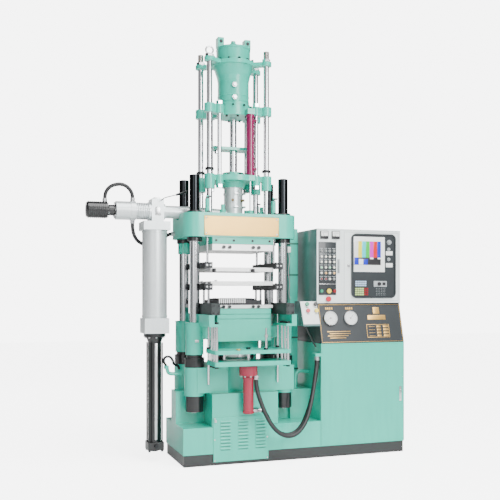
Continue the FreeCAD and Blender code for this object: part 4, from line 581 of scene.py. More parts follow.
@dataclass
class Repeat:
    """A Geometry Nodes tree that repeats one small solid."""

    name: str
    unit: Unit
    layout: Layout
    finish: Finish
    body: str
    size: Point = (0.01, 0.01, 0.01)
    turn: Point = (0.0, 0.0, 0.0)
    spots: Sequence[Point] = ()
    start: Point = (0.0, 0.0, 0.0)
    step: Point = (0.0, 0.0, 0.0)
    count: int = 6
    radius: float = 0.1
    tip: Point = (0.0, 0.0, 0.0)
    slot: str = ""

    def _tree(self) -> tuple[bpy.types.NodeTree, dict[str, str]]:
        """Build the tree.

        Returns:
            The tree and its inputs' identifiers by name.
        """
        tree = bpy.data.node_groups.new(self.name + "_tree", "GeometryNodeTree")
        face = tree.interface
        kinds = (("Geometry", "NodeSocketGeometry"), ("Size", "NodeSocketVector"),
                 ("Turn", "NodeSocketVector"), ("Step", "NodeSocketVector"),
                 ("Start", "NodeSocketVector"), ("Tip", "NodeSocketVector"),
                 ("Count", "NodeSocketInt"), ("Radius", "NodeSocketFloat"))
        ids = {label: face.new_socket(name=label, in_out="INPUT", socket_type=kind).identifier
               for label, kind in kinds}
        face.new_socket(name="Geometry", in_out="OUTPUT", socket_type="NodeSocketGeometry")
        add, link = tree.nodes.new, tree.links.new
        given, result = add("NodeGroupInput"), add("NodeGroupOutput")
        if self.unit is Unit.BLOCK:
            solid = add("GeometryNodeMeshCube")
        elif self.unit is Unit.DOME:
            solid = add("GeometryNodeMeshUVSphere")
            solid.inputs["Segments"].default_value = 12
            solid.inputs["Rings"].default_value = 7
            solid.inputs["Radius"].default_value = 0.5
        else:
            solid = add("GeometryNodeMeshCylinder")
            solid.inputs["Vertices"].default_value = 6 if self.unit is Unit.HEX else 20
            solid.inputs["Radius"].default_value = 0.5
            solid.inputs["Depth"].default_value = 1.0
        scatter = add("GeometryNodeInstanceOnPoints")
        if self.layout is Layout.ROW:
            line = add("GeometryNodeMeshLine")
            link(given.outputs["Count"], line.inputs["Count"])
            link(given.outputs["Start"], line.inputs["Start Location"])
            link(given.outputs["Step"], line.inputs["Offset"])
            link(line.outputs[0], scatter.inputs["Points"])
            link(given.outputs["Turn"], scatter.inputs["Rotation"])
        elif self.layout is Layout.RING:
            circle = add("GeometryNodeMeshCircle")
            link(given.outputs["Count"], circle.inputs["Vertices"])
            link(given.outputs["Radius"], circle.inputs["Radius"])
            place = add("GeometryNodeTransform")
            link(circle.outputs[0], place.inputs["Geometry"])
            link(given.outputs["Start"], place.inputs["Translation"])
            link(given.outputs["Tip"], place.inputs["Rotation"])
            aim = add("GeometryNodeInputNormal")
            spin = add("FunctionNodeAlignRotationToVector")
            spin.axis = "X"
            before = add("GeometryNodeCaptureAttribute")
            before.capture_items.new("VECTOR", "Outward")
            where = add("GeometryNodeInputPosition")
            away = add("ShaderNodeVectorMath")
            away.operation = "SUBTRACT"
            link(where.outputs[0], away.inputs[0])
            link(given.outputs["Start"], away.inputs[1])
            link(place.outputs[0], before.inputs["Geometry"])
            link(away.outputs[0], before.inputs["Outward"])
            link(before.outputs["Geometry"], scatter.inputs["Points"])
            link(before.outputs["Outward"], spin.inputs["Vector"])
            link(given.outputs["Turn"], spin.inputs["Rotation"])
            link(spin.outputs[0], scatter.inputs["Rotation"])
            tree.nodes.remove(aim)
        else:
            link(given.outputs["Geometry"], scatter.inputs["Points"])
            link(given.outputs["Turn"], scatter.inputs["Rotation"])
        link(solid.outputs[0], scatter.inputs["Instance"])
        link(given.outputs["Size"], scatter.inputs["Scale"])
        real, paint = add("GeometryNodeRealizeInstances"), add("GeometryNodeSetMaterial")
        paint.inputs["Material"].default_value = Paint.of(self.finish)
        link(scatter.outputs[0], real.inputs[0])
        link(real.outputs[0], paint.inputs["Geometry"])
        link(paint.outputs[0], result.inputs[0])
        return tree, ids

    def build(self) -> bpy.types.Object:
        """Run the tree and return the finished piece."""
        seed = bpy.data.meshes.new(self.name + "_points")
        seed.from_pydata([tuple(spot) for spot in self.spots] or [(0, 0, 0)], [], [])
        carrier = bpy.data.objects.new(self.name + "_carrier", seed)
        bpy.context.scene.collection.objects.link(carrier)
        tree, ids = self._tree()
        run = carrier.modifiers.new("Repeat", "NODES")
        run.node_group = tree
        values = {"Size": self.size, "Turn": self.turn, "Step": self.step, "Start": self.start,
                  "Tip": self.tip, "Count": self.count, "Radius": self.radius}
        for label, value in values.items():
            run[ids[label]] = value
        view = bpy.context.evaluated_depsgraph_get()
        data = bpy.data.meshes.new_from_object(carrier.evaluated_get(view))
        carrier.modifiers.clear()
        bpy.data.objects.remove(carrier)
        return finish_piece(self.name, data, self.finish, self.body, self.slot)


FACE_Y: Point = (math.pi / 2, 0.0, 0.0)
FACE_X: Point = (0.0, math.pi / 2, 0.0)


def bolts(name: str, spots: Iterable[Point], across: float, tall: float, body: str,
          finish: Finish = Finish.DARK, turn: Point = (0, 0, 0),
          unit: Unit = Unit.HEX) -> bpy.types.Object:
    """Add a group of bolt heads or nuts at points."""
    return Repeat(name, unit, Layout.POINTS, finish, body, (across, across, tall), turn,
                  list(spots)).build()


def mirrored(x: float, y: float, z: float) -> list[Point]:
    """Return the four mirrored points of one corner."""
    return [(-x, -y, z), (x, -y, z), (x, y, z), (-x, y, z)]


def leaned(origin: Point, lean: float) -> Matrix:
    """Return the matrix of a leaning face: local X, outward -Y and up-slope Z."""
    return Matrix.Translation(Vector(origin)) @ Matrix.Rotation(-lean, 4, "X")


# ---------------------------------------------------------------- sub-assemblies
@dataclass
class Frame:
    """Base, crosshead, tie bars and head."""

    body: str = "machine_frame"
    cover_y: float = -0.291
    louvre_columns: tuple[float, ...] = (-0.150, -0.020, 0.110)
    louvre_first: float = 0.1145
    louvre_pitch: float = 0.0235
    tie: tuple[float, float] = (0.336, 0.149)
    head_top: float = 1.767
    plate_y: float = -0.248
    nodes: dict[str, Finish] = field(default_factory=lambda: {
        "base_frame": Finish.BASE, "front_cover": Finish.MINT, "lower_crosshead": Finish.MINT,
        "tie_bars": Finish.TIE_BAR, "tie_bar_nuts": Finish.BLACK, "head": Finish.MINT,
        "nameplate": Finish.GOLD, "upper_bolster": Finish.MINT, "upper_hot_plate": Finish.BRIGHT,
        "upper_ejector_cylinders": Finish.MINT, "lift_rod": Finish.CHROME})

    def build(self) -> None:
        """Build every piece of the frame."""
        self.cover()
        self.base()
        self.head()
        self.plugs()

    def cover(self) -> None:
        """Add the louvre hoods, cover screws and latch."""
        for index, place in enumerate(self.louvre_columns):
            Repeat("louvre_hoods_%d" % index, Unit.ROUND, Layout.ROW, Finish.MINT, self.body,
                   (0.015, 0.011, 0.074), FACE_X, start=(place, self.cover_y, self.louvre_first),
                   step=(0, 0, self.louvre_pitch), count=9, slot="green_paint").build()
            Repeat("louvre_slits_%d" % index, Unit.BLOCK, Layout.ROW, Finish.INK, self.body,
                   (0.068, 0.003, 0.0055), start=(place, self.cover_y + 0.0040,
                                                  self.louvre_first - 0.008),
                   step=(0, 0, self.louvre_pitch), count=9).build()
        bolts("cover_screws", [(x, self.cover_y - 0.001, z) for x in (-0.229, 0.160)
                               for z in (0.034, 0.180, 0.326)], 0.011, 0.005, self.body,
              Finish.STEEL, FACE_Y, Unit.ROUND)
        latch = Solid("cover_latch").block((-0.232, -0.297, 0.300), (-0.214, -0.290, 0.318), 0.002)
        latch.rod((-0.223, -0.300, 0.309), (-0.223, -0.294, 0.309), 0.004)
        latch.done(Finish.STEEL, self.body)

    def base(self) -> None:
        """Add the tank pipe, drain line, painted shade lines along the seams, small lamp and duct
        clips.
        """
        pipe = Solid("tank_pipe").pipe([(0.47, -0.06, 0.484), (0.47, -0.06, 0.55),
                                        (0.476, -0.06, 0.592), (0.500, -0.06, 0.612),
                                        (0.540, -0.06, 0.612), (0.581, -0.06, 0.606)], 0.013)
        pipe.ring((0.47, -0.06, 0.490), (0, 0, 1), 0.015, 0.004)
        pipe.done(Finish.MINT, self.body, "green_paint")
        elbow = Solid("drain_elbow").pipe([(-0.402, -0.03, 0.622), (-0.455, -0.03, 0.622),
                                           (-0.495, -0.03, 0.630), (-0.508, -0.03, 0.668)], 0.013)
        elbow.rod((-0.512, -0.03, 0.660), (-0.512, -0.03, 0.682), 0.018, 6)
        elbow.done(Finish.MINT, self.body, "green_paint")
        drain = Solid("drain_line").pipe([(-0.512, -0.03, 0.680), (-0.530, -0.03, 0.712),
                                          (-0.520, -0.03, 0.742), (-0.486, -0.03, 0.744),
                                          (-0.462, -0.02, 0.716), (-0.450, 0.00, 0.690),
                                          (-0.412, 0.03, 0.672), (-0.398, 0.05, 0.650)], 0.009)
        drain.done(Finish.HOSE, self.body)
        # Painted shade: thin lines of the shaded mint where the base's castings meet.
        strip = Solid("seam_shade_lines")
        for z in (0.268, 0.499):
            strip.block((-0.2455, -0.2872, z - 0.0015), (0.2455, -0.285, z + 0.0015), 0.0006)
        strip.block((0.5795, -0.2872, 0.083), (0.5815, -0.285, 0.829), 0.0006)
        strip.done(Finish.MINT_IN_SHADE, self.body)
        box = Solid("duct_lamp_box").block((0.448, 0.050, 1.512), (0.482, 0.086, 1.556), 0.003)
        box.done(Finish.WHITE, self.body)
        cable = Solid("duct_lamp_cable").pipe([(0.464, 0.056, 1.514), (0.468, 0.046, 1.45),
                                               (0.458, 0.044, 1.36), (0.470, 0.048, 1.27),
                                               (0.466, 0.052, 1.20), (0.479, 0.062, 1.15)], 0.0035)
        cable.done(Finish.GREY, self.body)
        ribs = Repeat("duct_clips", Unit.BLOCK, Layout.ROW, Finish.MINT_IN_SHADE, self.body,
                      (0.070, 0.068, 0.012), start=(0.509, 0.090, 0.62), step=(0, 0, 0.24),
                      count=5)
        ribs.build()

    def head(self) -> None:
        """Add the head's collars, caps, screws, bosses and the nameplate's rim."""
        rings = Solid("head_collars")
        for x, y, z in mirrored(*self.tie, self.head_top):
            rings.lathe((x, y, z), (0, 0, 1), [(0.0365, 0.0), (0.056, 0.0), (0.056, 0.012),
                                               (0.050, 0.018), (0.0365, 0.018)])
        rings.done(Finish.BLACK, self.body, "black_paint")
        caps = Solid("tie_bar_ends")
        for x, y, z in mirrored(*self.tie, 2.033):
            caps.lathe((x, y, z), (0, 0, 1), [(0, 0), (0.036, 0.0), (0.030, 0.005), (0, 0.005)])
            caps.rod((x, y, z), (x, y, z + 0.007), 0.008, 6)
        caps.done(Finish.BLACK, self.body)
        clamp = Solid("tie_bar_clamp").lathe((-0.336, 0.149, 1.49), (0, 0, 1), [
            (0.0365, 0), (0.045, 0), (0.045, 0.09), (0.0365, 0.09)])
        clamp.block((-0.352, 0.085, 1.50), (-0.320, 0.108, 1.57), 0.003)
        clamp.done(Finish.MINT, self.body, "green_paint")
        bolts("nameplate_screws", [(x, self.plate_y - 0.001, z) for x in (-0.277, 0.251)
                                   for z in (1.620, 1.729)], 0.014, 0.007, self.body,
              Finish.STEEL, FACE_Y, Unit.DOME)
        edge = Solid("nameplate_rim")
        for low, high in (((-0.291, 1.606), (0.265, 1.6095)), ((-0.291, 1.7395), (0.265, 1.743)),
                          ((-0.291, 1.606), (-0.2875, 1.743)), ((0.2615, 1.606), (0.265, 1.743))):
            edge.block((low[0], -0.2498, low[1]), (high[0], -0.2475, high[1]), 0.0008)
        edge.done(Finish.GOLD, self.body, "gold_plate")
        bolts("head_lift_screws", mirrored(0.250, 0.215, self.head_top + 0.006), 0.024, 0.014,
              self.body)
        bolts("bolster_screws", [(x, -0.231, 1.573) for x in (-0.20, -0.07, 0.07, 0.20)],
              0.018, 0.008, self.body, Finish.DARK, FACE_Y)
        pads = Solid("head_bosses")
        for x, y in ((-0.13, -0.16), (0.20, -0.06), (-0.17, 0.17), (0.16, 0.18)):
            pads.lathe((x, y, self.head_top - 0.002), (0, 0, 1), [(0, 0), (0.022, 0), (0.022, 0.03),
                                                                  (0.014, 0.036), (0.014, 0.07),
                                                                  (0, 0.07)])
        pads.done(Finish.MINT, self.body, "green_paint")
        tips = Solid("ejector_cylinder_fittings")
        for x, y, z in mirrored(0.250, 0.180, 1.889):
            tips.rod((x, y, z - 0.024), (x, y, z - 0.006), 0.012, 6)
            tips.rod((x, y, z - 0.003), (x + 0.03, y, z - 0.003), 0.006, 12)
        tips.done(Finish.DARK, self.body)

    def plugs(self) -> None:
        """Add the upper heater plugs and the insulation gap."""
        spots = [(x, -0.232, 1.526) for x in (-0.144, -0.100, 0.076, 0.118)]
        bolts("upper_heater_plugs", spots, 0.026, 0.016, self.body, Finish.INK, FACE_Y)
        gap = Solid("insulation_upper").block((-0.2272, -0.2285, 1.5470), (0.2272, -0.2262, 1.5505),
                                              0.0006)
        gap.done(Finish.INK, self.body)


@dataclass
class Platen:
    """Moving platen, lower and upper ejectors and their plates."""

    body: str = "moving_platen"
    lower: str = "lower_ejector"
    upper: str = "upper_ejector"
    post_x: float = 0.259
    post_ys: tuple[float, ...] = (-0.440, -0.384, -0.322)
    comb_first: Point = (-0.168, -0.204, 1.147)
    comb_pitch: float = 0.0145
    comb_count: int = 14
    comb_tooth: Point = (0.0070, 0.006, 0.034)
    nodes: dict[str, Finish] = field(default_factory=lambda: {
        "main_ram": Finish.CHROME, "moving_bolster": Finish.MINT, "guide_blocks": Finish.CAST,
        "lower_hot_plate": Finish.BRIGHT, "lower_mould": Finish.DARK,
        "ejector_base_plate": Finish.MINT, "ejector_posts": Finish.CHROME,
        "ejector_cylinder": Finish.CRIMSON, "ejector_top_plate": Finish.MINT,
        "ejector_rods": Finish.CHROME, "lower_lift_rods": Finish.CHROME,
        "lower_rails": Finish.DARK, "lower_mould_plate": Finish.BRIGHT,
        "upper_lift_rods": Finish.CHROME, "upper_rails": Finish.DARK,
        "upper_mould_plate": Finish.BRIGHT})

    def build(self) -> None:
        """Build every small piece of the platen and ejectors."""
        posts = [(side * self.post_x, y) for side in (-1, 1) for y in self.post_ys]
        bolts("post_nuts_low", [(x, y, 0.696) for x, y in posts], 0.030, 0.012, self.body)
        bolts("post_nuts_high", [(x, y, 0.997) for x, y in posts], 0.030, 0.012, self.body)
        spots = [(x, -0.232, 1.1045) for x in (-0.146, -0.102, 0.075, 0.116)]
        bolts("lower_heater_plugs", spots, 0.024, 0.016, self.body, Finish.INK, FACE_Y)
        bolts("guide_block_screws", [(side * x, -0.462, z) for side in (-1, 1)
                                     for x in (0.252, 0.288) for z in (1.068, 1.115)],
              0.014, 0.008, self.body, Finish.DARK, FACE_Y)
        Repeat("cylinder_flange_bolts", Unit.HEX, Layout.RING, Finish.STEEL, self.body,
               (0.014, 0.014, 0.010), start=(0, -0.343, 0.6225), count=8, radius=0.053).build()
        ring = Solid("cylinder_bands")
        for z in (0.366, 0.600):
            ring.lathe((0, -0.343, z), (0, 0, 1), [(0.037, 0), (0.041, 0.002), (0.041, 0.014),
                                                   (0.037, 0.016)])
        ring.done(Finish.CRIMSON, self.body, "crimson_paint")
        port = Solid("cylinder_ports").rod((0.030, -0.343, 0.380), (0.069, -0.343, 0.380), 0.019, 6)
        port.rod((0.046, -0.372, 0.612), (0.046, -0.372, 0.629), 0.021, 6)
        port.done(Finish.STEEL, self.body, "steel")
        sleeves = Solid("sleeve_rims")
        for x, y, z in mirrored(0.336, 0.149, 0.985):
            sleeves.lathe((x, y, z), (0, 0, 1), [(0.064, 0), (0.067, 0.002), (0.067, 0.008),
                                                 (0.060, 0.0095)])
        sleeves.done(Finish.MINT, self.body, "green_paint")
        tabs = Solid("sleeve_tabs")
        for x, y, z in mirrored(0.336, 0.149, 0.855):
            side = -1 if y < 0 else 1
            tabs.block((x - 0.014, y + side * 0.060 - 0.008, z), (x + 0.014, y + side * 0.060
                                                                  + 0.008, z + 0.018), 0.002)
        tabs.done(Finish.STEEL, self.body)
        # Painted shade: a thin line of the shaded mint across the platen block's front near its top
        # edge.
        joint_shade = Solid("platen_joint_shade").block((-0.2015, -0.2612, 1.0895), (0.2015, -0.259, 1.0935),
                                          0.001)
        joint_shade.done(Finish.MINT_IN_SHADE, self.body)
        wires = Solid("lower_heater_conduit").pipe([(-0.146, -0.244, 1.104), (-0.17, -0.256, 1.100),
                                                    (-0.205, -0.262, 1.092),
                                                    (-0.215, -0.250, 1.06)], 0.004)
        wires.done(Finish.INK, self.body)
        bolts("top_plate_nuts", [(side * self.post_x, -0.240, 0.817) for side in (-1, 1)]
              + [(0.0, -0.343, 0.816), (0.10, -0.43, 0.816)], 0.032, 0.012, self.lower)
        fitting = Solid("brass_ring").ring((-0.107, -0.448, 0.816), (0, 0, 1), 0.014, 0.004)
        fitting.rod((-0.107, -0.448, 0.808), (-0.107, -0.448, 0.820), 0.010)
        fitting.done(Finish.GOLD, self.lower, "gold_plate")
        for name, low, high, body in (("lower", 1.222, 1.268, self.lower),
                                      ("upper", 1.376, 1.418, self.upper)):
            middle = (low + high) / 2
            bolts(name + "_rail_end_screws", [(side * x, -0.2615, middle) for side in (-1, 1)
                                              for x in (0.249, 0.276)],
                  0.013, 0.006, body, Finish.STEEL, FACE_Y, Unit.ROUND)
            bolts(name + "_rail_top_screws", [(side * 0.2625, y, high + 0.003) for side in (-1, 1)
                                              for y in (-0.20, -0.02, 0.14)],
                  0.018, 0.008, body, Finish.STEEL)
        bolts("mould_plate_knobs", [(x, -0.2282, 1.362) for x in (-0.215, 0.075)], 0.026, 0.024,
              self.upper, Finish.INK, (0, 0, 0), Unit.ROUND)
        bolts("mould_dowels", mirrored(0.190, 0.185, 1.288), 0.020, 0.010, self.lower,
              Finish.STEEL, (0, 0, 0), Unit.ROUND)
        comb = Solid("mould_rail").block((-0.172, -0.196, 1.1495), (0.030, -0.180, 1.154), 0.001)
        comb.block((-0.150, -0.120, 1.1495), (0.128, 0.150, 1.162), 0.003)
        comb.done(Finish.DARK, self.body, "dark_steel")
        Repeat("mould_comb", Unit.BLOCK, Layout.ROW, Finish.BRIGHT, self.body,
               self.comb_tooth, start=self.comb_first, step=(self.comb_pitch, 0, 0),
               count=self.comb_count).build()
        Repeat("mould_cavities", Unit.ROUND, Layout.POINTS, Finish.BRIGHT, self.body,
               (0.030, 0.030, 0.004), (0, 0, 0),
               [(-0.12 + 0.055 * i, -0.09 + 0.055 * j, 1.1625) for i in range(5)
                for j in range(4)]).build()


@dataclass
class Injection:
    """Injection cylinder, plates, extruder and stuffer that lift together."""

    body: str = "injection_unit"
    screw_z: float = 1.783
    stuffer_x: float = -0.591
    column: tuple[float, float] = (0.217, 0.118)
    nodes: dict[str, Finish] = field(default_factory=lambda: {
        "injection_plate": Finish.MINT, "injection_barrel": Finish.SILVER,
        "guide_columns": Finish.CHROME, "injection_tie_rods": Finish.CHROME,
        "injection_yoke": Finish.MINT, "injection_cylinder": Finish.MINT,
        "lift_cylinder": Finish.MAGENTA, "extruder_motor": Finish.BLACK,
        "gearbox_housing": Finish.SILVER, "extruder_barrel": Finish.SILVER,
        "feed_block": Finish.SILVER, "stuffer_cylinder": Finish.SILVER,
        "stuffer_drive": Finish.BLACK, "injection_plunger": Finish.PLUNGER,
        "extruder_screw": Finish.CHROME, "stuffer_piston": Finish.CHROME})

    def build(self) -> None:
        """Build every small piece of the injection unit."""
        self.cylinder()
        self.plates()
        self.extruder()
        self.stuffer()
        self.line()

    def cylinder(self) -> None:
        """Add the rings, bolts, cap fittings and column ends."""
        rings = Solid("cylinder_rings")
        for z, radius in ((2.600, 0.115), (2.640, 0.115), (2.985, 0.125)):
            rings.lathe((0, 0, z), (0, 0, 1), [(radius - 0.001, 0), (radius + 0.0025, 0.002),
                                               (radius + 0.0025, 0.007), (radius - 0.001, 0.009)],
                        48)
        rings.lathe((0, 0, 2.893), (0, 0, 1), [(0.124, 0), (0.136, 0.0), (0.133, 0.012),
                                               (0.124, 0.014)], 48)
        rings.done(Finish.MINT, self.body, "green_paint")
        Repeat("cylinder_flange_screws", Unit.HEX, Layout.RING, Finish.DARK, self.body,
               (0.020, 0.020, 0.016), start=(0, 0, 2.9005), count=12, radius=0.1415).build()
        Repeat("cylinder_base_screws", Unit.HEX, Layout.RING, Finish.DARK, self.body,
               (0.016, 0.016, 0.012), start=(0, 0, 2.5655), count=10, radius=0.137).build()
        Repeat("cap_screws", Unit.ROUND, Layout.RING, Finish.DARK, self.body,
               (0.018, 0.018, 0.012), start=(0, 0, 3.009), count=10, radius=0.090).build()
        top = Solid("cap_fittings")
        top.lathe((0, 0, 3.002), (0, 0, 1), [(0, 0), (0.040, 0), (0.040, 0.014), (0.026, 0.020),
                                             (0.026, 0.040), (0, 0.040)])
        top.rod((0, 0, 3.040), (0, 0, 3.062), 0.018, 6)
        top.done(Finish.MINT, self.body, "green_paint")
        pegs = Solid("cap_lug_pins")
        for side in (-1, 1):
            pegs.rod((side * 0.103, -0.034, 3.046), (side * 0.103, 0.034, 3.046), 0.012)
            pegs.rod((side * 0.150, 0, 2.905), (side * 0.150, 0, 2.940), 0.010, 6)
        pegs.done(Finish.DARK, self.body)
        port = Solid("cylinder_ports_high")
        for z in (2.62, 2.71):
            port.rod((-0.030, -0.108, z), (-0.030, -0.132, z), 0.020, 6)
            port.rod((-0.030, -0.130, z), (-0.030, -0.139, z), 0.013)
        port.done(Finish.STEEL, self.body)
        ends = Solid("column_thread_ends")
        for x, y in ((0.217, -0.118), (-0.217, 0.118)):
            turns = [(0.0, 0.0)]
            for step in range(14):
                turns += [(0.0188, 0.0005 + 0.004 * step), (0.0206, 0.0025 + 0.004 * step)]
            turns.append((0.0, 0.0565))
            ends.lathe((x, y, 2.9145), (0, 0, 1), turns, 24)
        ends.done(Finish.BRONZE, self.body)

    def plates(self) -> None:
        """Add screws, collars and caps on the two plates and the barrel."""
        Repeat("disc_screws", Unit.HEX, Layout.RING, Finish.DARK, self.body,
               (0.020, 0.020, 0.014), start=(0, 0, 2.0605), count=12, radius=0.158).build()
        Repeat("yoke_screws", Unit.HEX, Layout.RING, Finish.DARK, self.body,
               (0.018, 0.018, 0.012), start=(0, 0, 2.4915), count=8, radius=0.105).build()
        collars = Solid("column_collars")
        for x, y, z in mirrored(*self.column, 2.086):
            collars.lathe((x, y, z - 0.001), (0, 0, 1), [(0.0204, 0), (0.032, 0), (0.032, 0.012),
                                                         (0.029, 0.016), (0.0204, 0.016)])
            collars.block((x - 0.005, y - 0.040, z - 0.001), (x + 0.005, y - 0.030, z + 0.012),
                          0.001)
        collars.done(Finish.DARK, self.body)
        bands = Solid("heater_band_clamps")
        for z in (1.832, 1.930):
            bands.block((-0.016, -0.0835, z - 0.006), (0.016, -0.0725, z + 0.006), 0.001)
            bands.rod((-0.022, -0.079, z), (0.022, -0.079, z), 0.003)
            bands.rod((0.060, -0.050, z), (0.074, -0.062, z), 0.007)
        bands.done(Finish.STEEL, self.body)
        terminals = Solid("barrel_terminals")
        for turn in (-50.0, -110.0):
            x, y = 0.071 * math.cos(math.radians(turn)), 0.071 * math.sin(math.radians(turn))
            terminals.rod((x, y, 1.880), (x * 1.32, y * 1.32, 1.880), 0.010)
        terminals.done(Finish.BRONZE, self.body)
        caps = Solid("lift_cylinder_caps")
        for z in (2.054, 2.474):
            caps.lathe((0.085, -0.140, z), (0, 0, 1), [(0.027, 0), (0.0325, 0.001),
                                                       (0.0325, 0.020), (0.027, 0.022)])
        caps.rod((0.110, -0.150, 2.10), (0.128, -0.158, 2.10), 0.009, 6)
        caps.rod((0.110, -0.150, 2.45), (0.128, -0.158, 2.45), 0.009, 6)
        caps.done(Finish.MAGENTA, self.body, "magenta_paint")
        guide = Solid("plunger_plate_rims")
        for side in (-1, 1):
            guide.lathe((side * 0.112, 0, 2.2675), (0, 0, 1), [(0.0, 0), (0.020, 0), (0.020, 0.010),
                                                               (0, 0.010)])
        guide.done(Finish.DARK, "plunger")

    def extruder(self) -> None:
        """Add the motor's ribs and tail, the gearbox fins and the feed port."""
        z = self.screw_z
        motor = Solid("motor_ribs")
        for step in range(9):
            motor.lathe((-1.060 + 0.014 * step, 0, z), (1, 0, 0), [
                (0.0565, 0), (0.0600, 0.001), (0.0600, 0.004), (0.0565, 0.005)], 40)
        motor.done(Finish.BLACK, self.body, "black_paint")
        cap = Solid("motor_tail").lathe((-1.076, 0, z), (1, 0, 0), [
            (0, 0), (0.030, 0), (0.034, 0.004), (0, 0.004)])
        cap.block((-0.960, -0.014, z + 0.055), (-0.930, 0.014, z + 0.070), 0.002)
        cap.done(Finish.DARK, self.body)
        Repeat("motor_screws", Unit.HEX, Layout.RING, Finish.STEEL, self.body,
               (0.010, 0.012, 0.012), start=(-0.9235, 0, z), tip=FACE_X, count=6,
               radius=0.046).build()
        fins = Solid("gearbox_fins")
        for step in range(7):
            fins.lathe((-0.729 + 0.0125 * step, 0, z), (1, 0, 0), [
                (0.0495, 0), (0.060, 0.0005), (0.060, 0.0045), (0.0495, 0.005)], 40)
        fins.done(Finish.SILVER, self.body, "silver_paint")
        Repeat("gearbox_screws", Unit.HEX, Layout.RING, Finish.STEEL, self.body,
               (0.012, 0.012, 0.012), start=(-0.876, 0, z), tip=FACE_X, count=8,
               radius=0.052).build()
        lid = Solid("feed_port").block((-0.602, -0.030, 1.8695), (-0.556, 0.030, 1.882), 0.003)
        lid.block((-0.598, -0.068, 1.752), (-0.560, -0.0595, 1.812), 0.003)
        lid.done(Finish.STEEL, self.body)

    def stuffer(self) -> None:
        """Add the stuffer's bands, rods, bolts and drive fittings."""
        x = self.stuffer_x
        bands = Solid("stuffer_bands")
        for z in (1.030, 1.628):
            bands.lathe((x, 0, z), (0, 0, 1), [(0.0872, 0), (0.0905, 0.001), (0.0905, 0.013),
                                               (0.0872, 0.014)], 48)
        bands.done(Finish.SILVER, self.body, "silver_paint")
        Repeat("stuffer_flange_screws", Unit.HEX, Layout.RING, Finish.STEEL, self.body,
               (0.014, 0.014, 0.010), start=(x, 0, 0.8855), count=8, radius=0.066).build()
        wires = Solid("stuffer_tie_rods")
        for sx in (-1, 1):
            for sy in (-1, 1):
                wires.rod((x + sx * 0.0455, sy * 0.0455, 0.143), (x + sx * 0.0455, sy * 0.0455,
                                                                  0.850), 0.0055, 10)
                wires.rod((x + sx * 0.0455, sy * 0.0455, 0.075), (x + sx * 0.0455, sy * 0.0455,
                                                                  0.087), 0.010, 6)
        wires.done(Finish.DARK, self.body)
        stripe = Solid("stuffer_scale").block((x - 0.009, -0.0520, 0.160), (x + 0.009, -0.0470,
                                                                           0.845), 0.001)
        stripe.done(Finish.STEEL, self.body)
        feet = Solid("drive_fittings").rod((x, -0.056, 0.115), (x, -0.072, 0.115), 0.016, 6)
        feet.lathe((x, 0, 0.074), (0, 0, 1), [(0, 0), (0.028, 0), (0.030, 0.006), (0.030, 0.0125),
                                              (0, 0.0125)])
        feet.done(Finish.DARK, self.body)

    def line(self) -> None:
        """Add the thin control line that runs along the screw barrel."""
        thin = Solid("control_line").pipe([(-0.560, -0.080, 1.855), (-0.540, -0.092, 1.872),
                                           (-0.500, -0.090, 1.885), (-0.450, -0.080, 1.900),
                                           (-0.405, -0.070, 1.918), (-0.370, -0.060, 1.928)],
                                          0.0035)
        thin.done(Finish.INK, self.body)
        sleeve = Solid("control_line_sleeve").rod((-0.452, -0.0805, 1.899), (-0.368, -0.0598,
                                                                             1.929), 0.0085)
        sleeve.done(Finish.BLACK, self.body)


